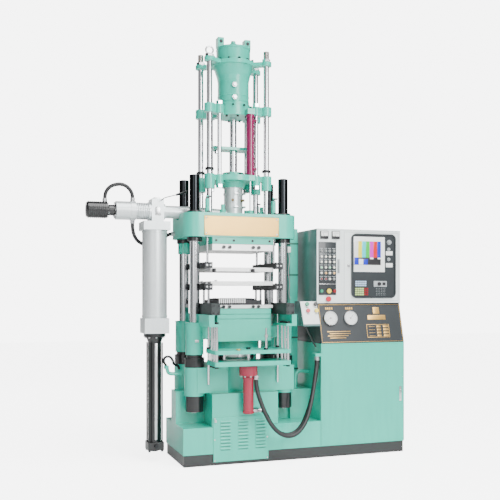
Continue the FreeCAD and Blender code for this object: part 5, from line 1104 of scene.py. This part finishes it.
@dataclass
class Controls:
    """Cabinet, console, control box with its two doors, and the operator station."""

    body: str = "machine_frame"
    lamps: str = "lamp_panel"
    screen: str = "monitor_panel"
    door: str = "cabinet_front"
    lip: tuple[float, float] = (-0.286, 0.830)
    rise: tuple[float, float] = (0.073, 0.295)
    face_y: float = -0.228
    gauges: tuple[float, ...] = (0.673, 0.837)
    gauge_z: float = 1.012
    ring_tall: tuple[float, float] = (0.0006, 0.0009)
    nodes: dict[str, Finish] = field(default_factory=lambda: {
        "cabinet_shell": Finish.MINT, "console": Finish.CONSOLE, "control_box": Finish.PANEL,
        "operator_station": Finish.CABINET, "lamp_door": Finish.PANEL,
        "monitor_door": Finish.PANEL, "cabinet_door": Finish.MINT,
        "emergency_button": Finish.RED, "cycle_button": Finish.YELLOW,
        "station_green_button": Finish.GREEN, "station_black_button": Finish.INK,
        "station_red_button": Finish.RED, "station_yellow_button": Finish.YELLOW})

    def build(self) -> None:
        """Build every piece of the controls."""
        self.console()
        self.lamp_panel()
        self.monitor()
        self.cabinet()
        self.station()

    def slope(self) -> tuple[Matrix, Callable[[float], float]]:
        """Return the console face's matrix and the length up it for a height."""
        lean = math.atan2(*self.rise)
        return (leaned((0.0, self.lip[0], self.lip[1]), lean),
                lambda z: (z - self.lip[1]) / math.cos(lean))

    def console(self) -> None:
        """Add the border, gauges, gold rules and table to the sloped console."""
        matrix, up = self.slope()
        border = Solid("console_border")
        for low, high in (((0.592, 0.838), (1.263, 0.8402)), ((0.592, 1.1128), (1.263, 1.115)),
                          ((0.592, 0.838), (0.5942, 1.115)), ((1.2608, 0.838), (1.263, 1.115))):
            border.block((low[0], -0.0016, up(low[1])), (high[0], 0.001, up(high[1])), 0.0004,
                         matrix)
        border.done(Finish.GOLD, self.body)
        rules = Solid("console_rules")
        for row, (left, right) in enumerate(((0.642, 0.829), (0.660, 0.829), (0.642, 0.810),
                                             (0.660, 0.790))):
            z = 0.914 - 0.0155 * row
            rules.block((left, -0.0014, up(z)), (right, 0.001, up(z + 0.0048)), 0.0003, matrix)
        for row in range(4):
            z = 0.948 - 0.0225 * row
            for left, right in ((1.052, 1.086), (1.106, 1.150)):
                rules.block((left, -0.0014, up(z - 0.0055)), (right, 0.001, up(z + 0.0075)),
                            0.0003, matrix)
            rules.block((0.985, -0.0014, up(z - 0.001)), (1.036, 0.001, up(z + 0.001)), 0.0003,
                        matrix)
        for low, high in (((0.967, 0.868), (1.157, 0.8715)), ((0.967, 0.962), (1.157, 0.9655)),
                          ((0.967, 0.868), (0.9705, 0.9655)), ((1.1535, 0.868), (1.157, 0.9655))):
            rules.block((low[0], -0.0014, up(low[1])), (high[0], 0.001, up(high[1])), 0.0003,
                        matrix)
        for centre in self.gauges:
            for offset in (-0.024, -0.008, 0.008, 0.024):
                rules.block((centre + offset - 0.005, -0.0014, up(1.078)),
                            (centre + offset + 0.005, 0.001, up(1.094)), 0.0003, matrix)
        rules.done(Finish.GOLD, self.body)
        plate = Solid("console_badge_plate").block((0.985, -0.0020, up(1.000)),
                                                   (1.135, 0.001, up(1.034)), 0.002, matrix)
        plate.block((1.036, -0.0020, up(1.044)), (1.088, 0.001, up(1.094)), 0.010, matrix)
        plate.done(Finish.GOLD, self.body)
        bezel, dial = Solid("gauge_bezels"), Solid("gauge_dials")
        needle, glass = Solid("gauge_needles"), Solid("gauge_glasses")
        out = tuple(matrix.to_3x3() @ Vector((0, -1, 0)))
        for centre in self.gauges:
            middle = matrix @ Vector((centre, 0, up(self.gauge_z)))
            spot = tuple(middle)
            bezel.lathe(spot, out, [(0.049, 0.0), (0.0565, 0.0), (0.0565, 0.016),
                                    (0.054, 0.0205), (0.050, 0.0205), (0.0485, 0.014),
                                    (0.049, 0.0)], 56)
            dial.lathe(spot, out, [(0, 0.0), (0.0495, 0.0), (0.0495, 0.0148), (0, 0.0148)], 56)
            glass.lathe(spot, out, [(0, 0.0178), (0.0492, 0.0178), (0.0492, 0.0186),
                                    (0, 0.0186)], 56)
            turn = Matrix.Translation(middle) @ matrix.to_3x3().to_4x4()
            for step in range(28):
                angle = math.radians(-135 + 10 * step)
                tick = turn @ Matrix.Rotation(angle, 4, "Y")
                long = 0.010 if step % 3 == 0 else 0.006
                needle.block((-0.0006, -0.0154, 0.044 - long), (0.0006, -0.0144, 0.044), 0.0001,
                             tick)
            aim = turn @ Matrix.Rotation(math.radians(-118 if centre < 0.7 else 42), 4, "Y")
            needle.block((-0.0011, -0.0168, -0.010), (0.0011, -0.0158, 0.034), 0.0003, aim)
            needle.lathe(tuple(middle + Vector(out) * 0.0146), out,
                         [(0, 0), (0.0055, 0), (0.0055, 0.0026), (0, 0.0026)], 20)
        bezel.done(Finish.CHROME, self.body)
        dial.done(Finish.WHITE, self.body)
        needle.done(Finish.INK, self.body)
        glass.done(Finish.GLASS, self.body)
        corner = matrix @ Vector((0, -0.001, 0))
        LOG.info("console slope starts at %s", tuple(round(part, 4) for part in corner))

    def lamp_panel(self) -> None:
        """Add the meters, lamps, keys and handle of the left door."""
        y = self.face_y
        plate = Solid("lamp_plate").block((0.587, y - 0.004, 1.186), (0.729, y, 1.579), 0.003)
        plate.done(Finish.CONSOLE, self.lamps)
        meters = Solid("meter_frames")
        faces = Solid("meter_faces")
        pointers = Solid("meter_pointers")
        for left, right in ((0.599, 0.664), (0.692, 0.757)):
            meters.block((left, y - 0.012, 1.601), (right, y, 1.660), 0.004)
            faces.block((left + 0.005, y - 0.0135, 1.622), (right - 0.005, y - 0.011, 1.656),
                        0.001)
            middle = (left + right) / 2
            aim = Matrix.Translation((middle, y - 0.0142, 1.616)) @ Matrix.Rotation(-0.5, 4, "Y")
            pointers.block((-0.0006, -0.0006, 0.006), (0.0006, 0.0006, 0.032), 0.0002, aim)
            pointers.block((left + 0.010, y - 0.0142, 1.645), (right - 0.010, y - 0.0132, 1.647),
                           0.0002)
        meters.done(Finish.INK, self.lamps)
        faces.done(Finish.WHITE, self.lamps)
        pointers.done(Finish.INK, self.lamps)
        columns = (0.607, 0.642, 0.6745, 0.709)
        rows = ((1.512, (Finish.LAMP_OFF,) * 4), (1.470, (Finish.LAMP_WHITE,) * 4),
                (1.431, (Finish.LAMP_WHITE,) * 4),
                (1.390, (Finish.LAMP_GREEN, Finish.LAMP_WHITE, Finish.LAMP_GREEN,
                         Finish.LAMP_WHITE)),
                (1.349, (Finish.LAMP_WHITE, Finish.LAMP_AMBER, Finish.LAMP_WHITE,
                         Finish.LAMP_AMBER)),
                (1.305, (Finish.RED_GLOW, Finish.RED_GLOW, Finish.LAMP_WHITE,
                         Finish.LAMP_OFF)))
        groups: dict[Finish, list[Point]] = {}
        for z, colours in rows:
            for x, colour in zip(columns, colours):
                groups.setdefault(colour, []).append((x, y - 0.013, z))
        for colour, spots in groups.items():
            bolts("panel_" + colour.value.name, spots, 0.0150, 0.012, self.lamps, colour, FACE_Y,
                  Unit.DOME)
        every = [(x, y - 0.0065, z) for z, _ in rows for x in columns]
        bolts("lamp_bezels", every, 0.0205, 0.007, self.lamps, Finish.GREY, FACE_Y, Unit.ROUND)
        Repeat("lamp_name_strips", Unit.BLOCK, Layout.POINTS, Finish.GREY, self.lamps,
               (0.024, 0.0015, 0.0045), spots=[(x, y - 0.0045, z + 0.0185)
                                               for x, _, z in every]).build()
        low = Solid("lamp_panel_divider").block((0.590, y - 0.006, 1.2655), (0.726, y - 0.003,
                                                                            1.2695), 0.0005)
        low.done(Finish.STEEL, self.lamps)
        knobs = Solid("dark_green_knob").rod((0.607, y - 0.018, 1.216), (0.607, y - 0.003, 1.216),
                                             0.012)
        knobs.done(Finish.GREEN, self.lamps)
        # Painted glow: the red knob glows faintly with the red lamps' finish though it is no lamp.
        red = Solid("brown_red_knob").rod((0.713, y - 0.018, 1.216), (0.713, y - 0.003, 1.216),
                                          0.013)
        red.done(Finish.RED_GLOW, self.lamps)
        collar = Solid("button_collars")
        for x, z, radius in ((0.607, 1.216, 0.0145), (0.713, 1.216, 0.0155),
                             (0.668, 1.216, 0.0130)):
            collar.lathe((x, y, z), (0, -1, 0), [(0.0085, 0), (radius, 0),
                                                 (radius, self.ring_tall[0]),
                                                 (0.0085, self.ring_tall[1])])
        collar.lathe((0.664, y, 1.157), (0, -1, 0), [(0.0085, 0), (0.0165, 0),
                                                     (0.0165, self.ring_tall[0]),
                                                     (0.0085, self.ring_tall[1])])
        collar.done(Finish.STEEL, self.lamps)
        handle = Solid("lamp_door_handle").block((0.7410, y - 0.007, 1.349),
                                                 (0.7570, y - 0.0002, 1.453), 0.002)
        handle.block((0.7445, y - 0.0125, 1.362), (0.7535, y - 0.006, 1.440), 0.002)
        handle.done(Finish.GREY, self.lamps)

    def monitor(self) -> None:
        """Add the screen, its keys and knobs on the right door."""
        y = self.face_y
        bezel = Solid("monitor_bezel")
        outline = rounded(0.853, 1.163, 1.226, 1.647, 0.040)
        bezel.slab(outline, y, y - 0.010)
        bezel.done(Finish.CONSOLE, self.screen)
        rim = Solid("monitor_rim")
        inner = rounded(0.8625, 1.1725, 1.2165, 1.6375, 0.033)
        rim.frame(outline, inner, y - 0.0095, y - 0.0150)
        rim.done(Finish.CONSOLE, self.screen)
        mask = Solid("screen_mask").block((0.870, y - 0.0125, 1.360), (1.131, y - 0.009, 1.624),
                                          0.003)
        mask.done(Finish.WHITE, self.screen)
        tints = (Finish.BAR_GREY, Finish.BAR_YELLOW, Finish.BAR_CYAN, Finish.BAR_GREEN,
                 Finish.BAR_MAGENTA, Finish.BAR_RED, Finish.BAR_BLUE)
        left, width = 0.8735, 0.2235 / 7
        for index, tint in enumerate(tints):
            bar = Solid("screen_bar_%d" % index)
            x = left + width * index
            bar.block((x, y - 0.0136, 1.468), (x + width, y - 0.0115, 1.590), 0.0002)
            bar.done(tint, self.screen)
        strip = Solid("screen_strip_dark").block((left, y - 0.0134, 1.412), (left + 7 * width,
                                                                             y - 0.0115, 1.468),
                                                 0.0002)
        strip.done(Finish.INK, self.screen)
        blue = Solid("screen_strip_blue").block((left, y - 0.0140, 1.414), (left + 0.034,
                                                                            y - 0.0125, 1.456),
                                                0.0002)
        blue.block((left, y - 0.0140, 1.456), (left + 0.034, y - 0.0125, 1.468), 0.0002)
        blue.block((left + 0.076, y - 0.0140, 1.414), (left + 0.112, y - 0.0125, 1.456), 0.0002)
        blue.done(Finish.BAR_BLUE, self.screen)
        white = Solid("screen_strip_white").block((left + 0.038, y - 0.0140, 1.414),
                                                  (left + 0.074, y - 0.0125, 1.456), 0.0002)
        white.block((left + 0.196, y - 0.0140, 1.457), (left + 0.2235, y - 0.0125, 1.468), 0.0002)
        white.block((left + 0.132, y - 0.0140, 1.457), (left + 0.160, y - 0.0125, 1.468), 0.0002)
        white.done(Finish.WHITE, self.screen)
        knobs = Solid("monitor_knobs")
        for x, z, radius in ((1.169, 1.586, 0.016), (1.165, 1.533, 0.010), (1.165, 1.457, 0.010)):
            knobs.lathe((x, y - 0.009, z), (0, -1, 0), [(0, 0), (radius + 0.003, 0),
                                                        (radius + 0.003, 0.003), (radius, 0.004),
                                                        (radius * 0.92, 0.013), (0, 0.014)])
        knobs.done(Finish.GREY, self.screen)
        keys = Solid("monitor_white_keys")
        for low in (1.488, 1.397):
            keys.block((1.141, y - 0.0145, low), (1.197, y - 0.009, low + 0.031), 0.002)
        keys.done(Finish.WHITE, self.screen)
        # The red keys glow faintly with the red lamps' finish: painted glow, as they are no lamps.
        for name, tint, x0, z0, cols, lines, wide, tall in (
                ("keys_blue", Finish.KEY_BLUE, 0.882, 1.2505, 5, 3, 0.0185, 0.0145),
                ("keys_green", Finish.KEY_GREEN, 0.880, 1.1830, 4, 4, 0.0185, 0.0145),
                ("keys_red", Finish.RED_GLOW, 0.954, 1.1830, 2, 4, 0.0185, 0.0145)):
            spots = [(x0 + wide * (i + 0.5), y - 0.0125, z0 + tall * (j + 0.5))
                     for i in range(cols) for j in range(lines)]
            Repeat(name, Unit.BLOCK, Layout.POINTS, tint, self.screen,
                   (wide * 0.80, 0.005, tall * 0.74), spots=spots).build()
        unit = Solid("grey_key_unit").block((1.037, y - 0.014, 1.248), (1.148, y - 0.009, 1.292),
                                            0.004)
        unit.done(Finish.GREY, self.screen)
        dark = Solid("dark_key_knob")
        dark.lathe((1.082, y - 0.013, 1.270), (0, -1, 0), [(0, 0), (0.015, 0), (0.013, 0.010),
                                                           (0, 0.011)])
        dark.block((1.110, y - 0.0155, 1.260), (1.136, y - 0.013, 1.282), 0.001)
        dark.done(Finish.INK, self.screen)
        Repeat("sounder_dots", Unit.ROUND, Layout.POINTS, Finish.GREY, self.screen,
               (0.0045, 0.0045, 0.003), FACE_Y,
               [(1.060 + 0.0145 * i, y - 0.0105, 1.186 + 0.0125 * j) for i in range(6)
                for j in range(5)]).build()
        lock = Solid("monitor_lock").rod((0.832, y - 0.006, 1.405), (0.832, y, 1.405), 0.011)
        lock.block((0.8305, y - 0.0085, 1.397), (0.8335, y - 0.0055, 1.413), 0.0005)
        lock.done(Finish.STEEL, self.screen)
        seam = Solid("monitor_door_edge")
        for low, high in (((0.795, 1.142), (0.797, 1.658)), ((1.2515, 1.142), (1.2535, 1.658)),
                          ((0.795, 1.142), (1.2535, 1.144)), ((0.795, 1.656), (1.2535, 1.658))):
            seam.block((low[0], y - 0.0012, low[1]), (high[0], y + 0.001, high[1]), 0.0003)
        seam.done(Finish.GREY, self.screen)

    def cabinet(self) -> None:
        """Add the cabinet handle, the control box's top edge and its side."""
        pull = Solid("cabinet_handle").block((1.2275, -0.2905, 0.385), (1.2465, -0.2855, 0.495),
                                             0.002)
        pull.block((1.2320, -0.2975, 0.400), (1.2420, -0.2900, 0.470), 0.003)
        pull.done(Finish.CHROME, self.door, "chrome")
        side = Solid("control_box_side").block((0.5725, -0.2265, 1.127), (0.5742, 0.1705, 1.6735),
                                               0.0006)
        side.block((1.2698, -0.2265, 1.127), (1.2712, 0.1705, 1.6735), 0.0006)
        side.done(Finish.CABINET, self.body)
        lip = Solid("control_box_drip_edge").block((0.5735, -0.2310, 1.6735), (1.2705, 0.1725,
                                                                             1.6770), 0.0008)
        lip.done(Finish.PANEL, self.body, "panel_grey")
        foot = Solid("control_box_joint").block((0.5850, -0.2285, 1.1235), (1.2700, -0.2262,
                                                                           1.1270), 0.0006)
        foot.done(Finish.INK, self.body)

    def station(self) -> None:
        """Add the pale face plate and the button rings of the operator station."""
        lean = math.atan2(0.071, 0.170)
        matrix = leaned((0.0, -0.286, 0.971), lean)
        length = math.hypot(0.071, 0.170)
        face = Solid("station_face").block((0.4445, -0.0022, 0.004), (0.5735, 0.0004,
                                                                     length - 0.003), 0.001,
                                           matrix)
        holes = [(0.493, 1.116), (0.560, 1.116), (0.493, 1.069), (0.560, 1.069)]
        face.done(Finish.WHITE, self.body)
        rings = Solid("station_button_rings")
        strips = Solid("station_strips")
        out = tuple(matrix.to_3x3() @ Vector((0, -1, 0)))
        for x, z in holes:
            spot = matrix @ Vector((x, 0, (z - 0.971) / math.cos(lean)))
            rings.lathe(tuple(spot), out, [(0.0088, 0), (0.0175, 0),
                                           (0.0175, self.ring_tall[0]),
                                           (0.0088, self.ring_tall[1])])
            high = (z - 0.971) / math.cos(lean) - 0.023
            strips.block((x - 0.011, -0.0030, high - 0.003), (x + 0.011, -0.0015, high + 0.003),
                         0.0003, matrix)
        rings.done(Finish.STEEL, self.body)
        strips.done(Finish.GREY, self.body)
        brace = Solid("station_brace").block((-0.004, -0.008, 0.0), (0.004, 0.008, 0.172), 0.002,
                                             Matrix.Translation((0.474, -0.240, 0.955))
                                             @ Matrix.Rotation(math.radians(150.5), 4, "Y"))
        brace.done(Finish.DARK, self.body)
        bolts("station_screws", [(0.4415, y, z) for y in (-0.255, -0.150) for z in (0.972, 1.03)],
              0.010, 0.004, self.body, Finish.STEEL, FACE_X, Unit.ROUND)


def rounded(x0: float, z0: float, x1: float, z1: float, radius: float,
            steps: int = 8) -> list[tuple[float, float]]:
    """Return the outline of a rounded rectangle as (x, z)."""
    points = []
    for cx, cz, start in ((x1 - radius, z0 + radius, -90), (x1 - radius, z1 - radius, 0),
                          (x0 + radius, z1 - radius, 90), (x0 + radius, z0 + radius, 180)):
        for step in range(steps + 1):
            angle = math.radians(start + 90 * step / steps)
            points.append((cx + radius * math.cos(angle), cz + radius * math.sin(angle)))
    return points


@dataclass(frozen=True)
class Route:
    """One hose: its control points and how it is held."""

    name: str
    node: str
    radius: float
    points: tuple[Point, ...]
    bodies: tuple[str, ...]
    span: tuple[Point, Point] | None = None
    length: float = 1.0
    ends: tuple[float, float] = (0.030, 0.030)

    def line(self) -> list[Vector]:
        """Return the points of the hose's own smooth line."""
        curve = bpy.data.curves.new(self.name + "_line", "CURVE")
        curve.dimensions = "3D"
        curve.resolution_u = 10
        spline = curve.splines.new("NURBS")
        spline.points.add(len(self.points) - 1)
        for spot, place in zip(spline.points, self.points):
            spot.co = (*place, 1.0)
        spline.order_u = 3
        spline.use_endpoint_u = True
        carrier = bpy.data.objects.new(self.name + "_carrier", curve)
        bpy.context.scene.collection.objects.link(carrier)
        view = bpy.context.evaluated_depsgraph_get()
        data = bpy.data.meshes.new_from_object(carrier.evaluated_get(view))
        spots = [vert.co.copy() for vert in data.vertices]
        bpy.data.objects.remove(carrier)
        bpy.data.meshes.remove(data)
        return spots

    def build(self) -> None:
        """Build the rubber tube and its two pressed end fittings."""
        spots = self.line()
        tube = Solid(self.name + "_tube").tube(spots, self.radius)
        piece = tube.done(Finish.HOSE, "" if self.span else self.bodies[0], "hose_black")
        collars = []
        for label, run, long in (("start", spots, self.ends[0]),
                                 ("end", list(reversed(spots)), self.ends[1])):
            aim = (run[1] - run[0]).normalized()
            body = self.bodies[0] if label == "start" else self.bodies[-1]
            ferrule = Solid("%s_%s_ferrule" % (self.name, label)).lathe(
                tuple(run[0]), tuple(aim), [
                    (0.0, 0.0), (self.radius * 1.18, 0.0), (self.radius * 1.18, long * 0.30),
                    (self.radius * 1.02, long * 0.34), (self.radius * 1.26, long * 0.40),
                    (self.radius * 1.26, long * 0.52), (self.radius * 1.12, long * 0.56),
                    (self.radius * 1.24, long * 0.62), (self.radius * 1.24, long * 0.90),
                    (self.radius * 1.00, long), (0.0, long)], 24)
            collars.append(ferrule.done(Finish.STEEL, body, "steel"))
        if self.span:
            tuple(self.span[0])
            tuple(self.span[1])
            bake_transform(piece)
        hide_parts(self.node)
        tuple(self.points[0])
        2 * self.radius
        [tuple(spot) for spot in spots]


@dataclass
class Hoses:
    """The two ejector hoses, the motor's loop and the barrel's hose."""

    routes: tuple[Route, ...] = (
        Route("ejector_hose_front", "ejector_hose_a", 0.015, (
            (0.046, -0.372, 0.627), (0.046, -0.372, 0.572), (0.054, -0.388, 0.505),
            (0.075, -0.408, 0.430), (0.100, -0.428, 0.355), (0.138, -0.444, 0.283),
            (0.190, -0.455, 0.228), (0.252, -0.458, 0.203), (0.318, -0.452, 0.215),
            (0.376, -0.436, 0.262), (0.420, -0.412, 0.325), (0.454, -0.385, 0.400),
            (0.482, -0.358, 0.472), (0.505, -0.335, 0.545), (0.528, -0.309, 0.622),
            (0.545, -0.292, 0.688), (0.545, -0.292, 0.740)),
            ("moving_platen", "machine_frame"), ((0.10, -0.43, 0.3), (0.48, -0.43, 0.3)), 1.184),
        Route("ejector_hose_rear", "ejector_hose_b", 0.013, (
            (0.070, -0.343, 0.380), (0.102, -0.343, 0.380), (0.130, -0.354, 0.352),
            (0.146, -0.370, 0.308), (0.168, -0.389, 0.262), (0.206, -0.404, 0.224),
            (0.262, -0.412, 0.206), (0.322, -0.411, 0.218), (0.376, -0.400, 0.260),
            (0.420, -0.378, 0.320), (0.458, -0.352, 0.390), (0.490, -0.327, 0.462),
            (0.520, -0.303, 0.535), (0.547, -0.280, 0.610), (0.565, -0.262, 0.680),
            (0.565, -0.262, 0.740)),
            ("moving_platen", "machine_frame"), ((0.13, -0.35, 0.3), (0.50, -0.35, 0.3)), 0.957,
            (0.024, 0.030)),
        Route("motor_hose_line", "motor_hose", 0.013, (
            (-0.945, 0.0, 1.834), (-0.946, -0.004, 1.872), (-0.938, -0.008, 1.912),
            (-0.912, -0.010, 1.946), (-0.872, -0.012, 1.964), (-0.828, -0.012, 1.968),
            (-0.788, -0.010, 1.952), (-0.760, -0.006, 1.920), (-0.748, -0.002, 1.884),
            (-0.750, 0.0, 1.846)),
            ("injection_unit",), None, 0.367),
        Route("barrel_hose_line", "barrel_hose", 0.013, (
            (-0.750, 0.0, 1.718), (-0.750, 0.004, 1.684), (-0.744, 0.018, 1.645),
            (-0.728, 0.045, 1.608), (-0.700, 0.080, 1.578), (-0.660, 0.112, 1.558),
            (-0.612, 0.132, 1.548), (-0.560, 0.140, 1.552), (-0.522, 0.136, 1.572),
            (-0.492, 0.124, 1.608), (-0.458, 0.112, 1.636), (-0.420, 0.112, 1.636)),
            ("injection_unit", "machine_frame"), ((-0.74, 0.05, 1.6), (-0.47, 0.05, 1.6)), 0.508,
            (0.024, 0.024)))

    def build(self) -> None:
        """Build each hose."""
        for route in self.routes:
            route.build()


@dataclass
class Studio:
    """Floor, soft lights and the camera."""

    camera_at: Point = (-1.7572, -5.4238, 1.2035)
    turn: float = -19.2
    lens: float = 55.45
    shift: float = 0.0854
    sky: tuple[float, ...] = (0.25, 0.10, 0.35, 1.10)
    backdrop: float = 6.5
    lift: float = 4.6
    overhead: float = 5.0
    overhead_tilt: tuple[float, float] = (26.0, 14.0)
    overhead_spread: float = 50.0
    floor_half: float = 14.0
    floor_white: float = 0.93
    aim_height: float = 1.3

    def build(self) -> None:
        """Build the floor, the lights and the camera."""
        data = bpy.data.cameras.new("studio_camera")
        data.sensor_width, data.lens, data.shift_y = 36.0, self.lens, self.shift
        data.clip_end = 60.0
        camera = bpy.data.objects.new("studio_camera", data)
        camera.location = self.camera_at
        camera.rotation_euler = (math.pi / 2, 0.0, math.radians(self.turn))
        bpy.context.scene.collection.objects.link(camera)
        bpy.context.scene.camera = camera
        mesh = bpy.data.meshes.new("studio_floor")
        half = self.floor_half
        mesh.from_pydata([(-half, -half, 0), (half, -half, 0), (half, half, 0),
                          (-half, half, 0)], [], [(0, 1, 2, 3)])
        graph = Graph("studio_floor_paint")
        sight = graph.node("ShaderNodeLightPath", {}, {}, "Is Camera Ray")
        graph.feed(Base_Color=(self.floor_white,) * 3, Roughness=0.65, Emission_Strength=self.lift,
                   Emission_Color=graph.blend(sight, (0.0, 0.0, 0.0), (1.0, 1.0, 1.0)))
        mesh.materials.append(graph.material)
        floor = bpy.data.objects.new("studio_floor", mesh)
        bpy.context.scene.collection.objects.link(floor)
        self.room()
        sun = bpy.data.lights.new("overhead_light", "SUN")
        sun.energy, sun.angle = self.overhead, math.radians(self.overhead_spread)
        sun_object = bpy.data.objects.new("overhead_light", sun)
        sun_object.rotation_euler = (*map(math.radians, self.overhead_tilt), 0.0)
        bpy.context.scene.collection.objects.link(sun_object)
        for name, place, size, power in (("key_light", (1.4, -5.6, 3.2), 2.6, 300.0),
                                         ("fill_light", (-3.4, -4.8, 2.4), 2.4, 45.0),
                                         ("rear_light", (-1.5, 4.2, 3.6), 3.0, 60.0)):
            lamp = bpy.data.lights.new(name, "AREA")
            lamp.shape, lamp.size, lamp.energy = "DISK", size, power
            lamp_object = bpy.data.objects.new(name, lamp)
            lamp_object.location = place
            aim = Vector((0.0, 0.0, self.aim_height)) - Vector(place)
            lamp_object.rotation_euler = aim.to_track_quat("-Z", "Y").to_euler()
            bpy.context.scene.collection.objects.link(lamp_object)

    def room(self) -> None:
        """Make the pale room: bright in front and overhead, darker at the sides and back."""
        world = bpy.data.worlds.new("studio_world")
        world.use_nodes = True
        tree = world.node_tree
        tree.nodes.clear()

        def add(kind: str, **settings: Any) -> bpy.types.Node:
            """Add a node with its settings."""
            made = tree.nodes.new(kind)
            for key, value in settings.items():
                setattr(made, key, value)
            return made

        sight, way = add("ShaderNodeLightPath"), add("ShaderNodeTexCoord")
        split, ramp = add("ShaderNodeSeparateXYZ"), add("ShaderNodeValToRGB")
        tree.links.new(way.outputs["Generated"], split.inputs[0])
        height, tall = add("ShaderNodeMath", operation="MULTIPLY_ADD"), self.sky
        tree.links.new(split.outputs["Y"], height.inputs[0])
        height.inputs[1].default_value, height.inputs[2].default_value = -0.5, 0.5
        tree.links.new(height.outputs[0], ramp.inputs[0])
        ramp.color_ramp.elements[0].position, ramp.color_ramp.elements[1].position = 0.0, 1.0
        ramp.color_ramp.elements[0].color = (*(tall[0],) * 3, 1.0)
        ramp.color_ramp.elements[1].color = (*(tall[3],) * 3, 1.0)
        for place, value in ((0.45, tall[1]), (0.72, tall[2])):
            stop = ramp.color_ramp.elements.new(place)
            stop.color = (*(value,) * 3, 1.0)
        seen, lit, mix = (add("ShaderNodeBackground"), add("ShaderNodeBackground"),
                          add("ShaderNodeMixShader"))
        seen.inputs["Color"].default_value = (1.0, 1.0, 1.0, 1.0)
        seen.inputs["Strength"].default_value = self.backdrop
        tree.links.new(ramp.outputs[0], lit.inputs["Color"])
        tree.links.new(sight.outputs["Is Camera Ray"], mix.inputs[0])
        tree.links.new(lit.outputs[0], mix.inputs[1])
        tree.links.new(seen.outputs[0], mix.inputs[2])
        tree.links.new(mix.outputs[0], add("ShaderNodeOutputWorld").inputs[0])
        bpy.context.scene.world = world


def dress(finishes: dict[str, Finish], nodes: dict[str, bpy.types.Object]) -> None:
    """Give each CAD node its finish.

    Args:
        finishes: Node name to finish.
        nodes: The frame's node objects by name.
    """
    for name, finish in finishes.items():
        slots = nodes[name].data.materials
        slots.clear()
        slots.append(Paint.of(finish))
        LOG.info("node %s: %s", name, finish.value.name)


def main(frame: dict[str, Any]) -> None:
    """Build the machine's pieces in order.
    """
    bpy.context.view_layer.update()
    Studio().build()
    Hoses().build()
    for part in (Frame(), Platen(), Injection(), Controls()):
        dress(part.nodes, frame["nodes"])
        part.build()
        LOG.info("sub-assembly %s is done", type(part).__name__)


if __name__ == "__main__":
    logging.basicConfig(level=logging.INFO)
    main(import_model())
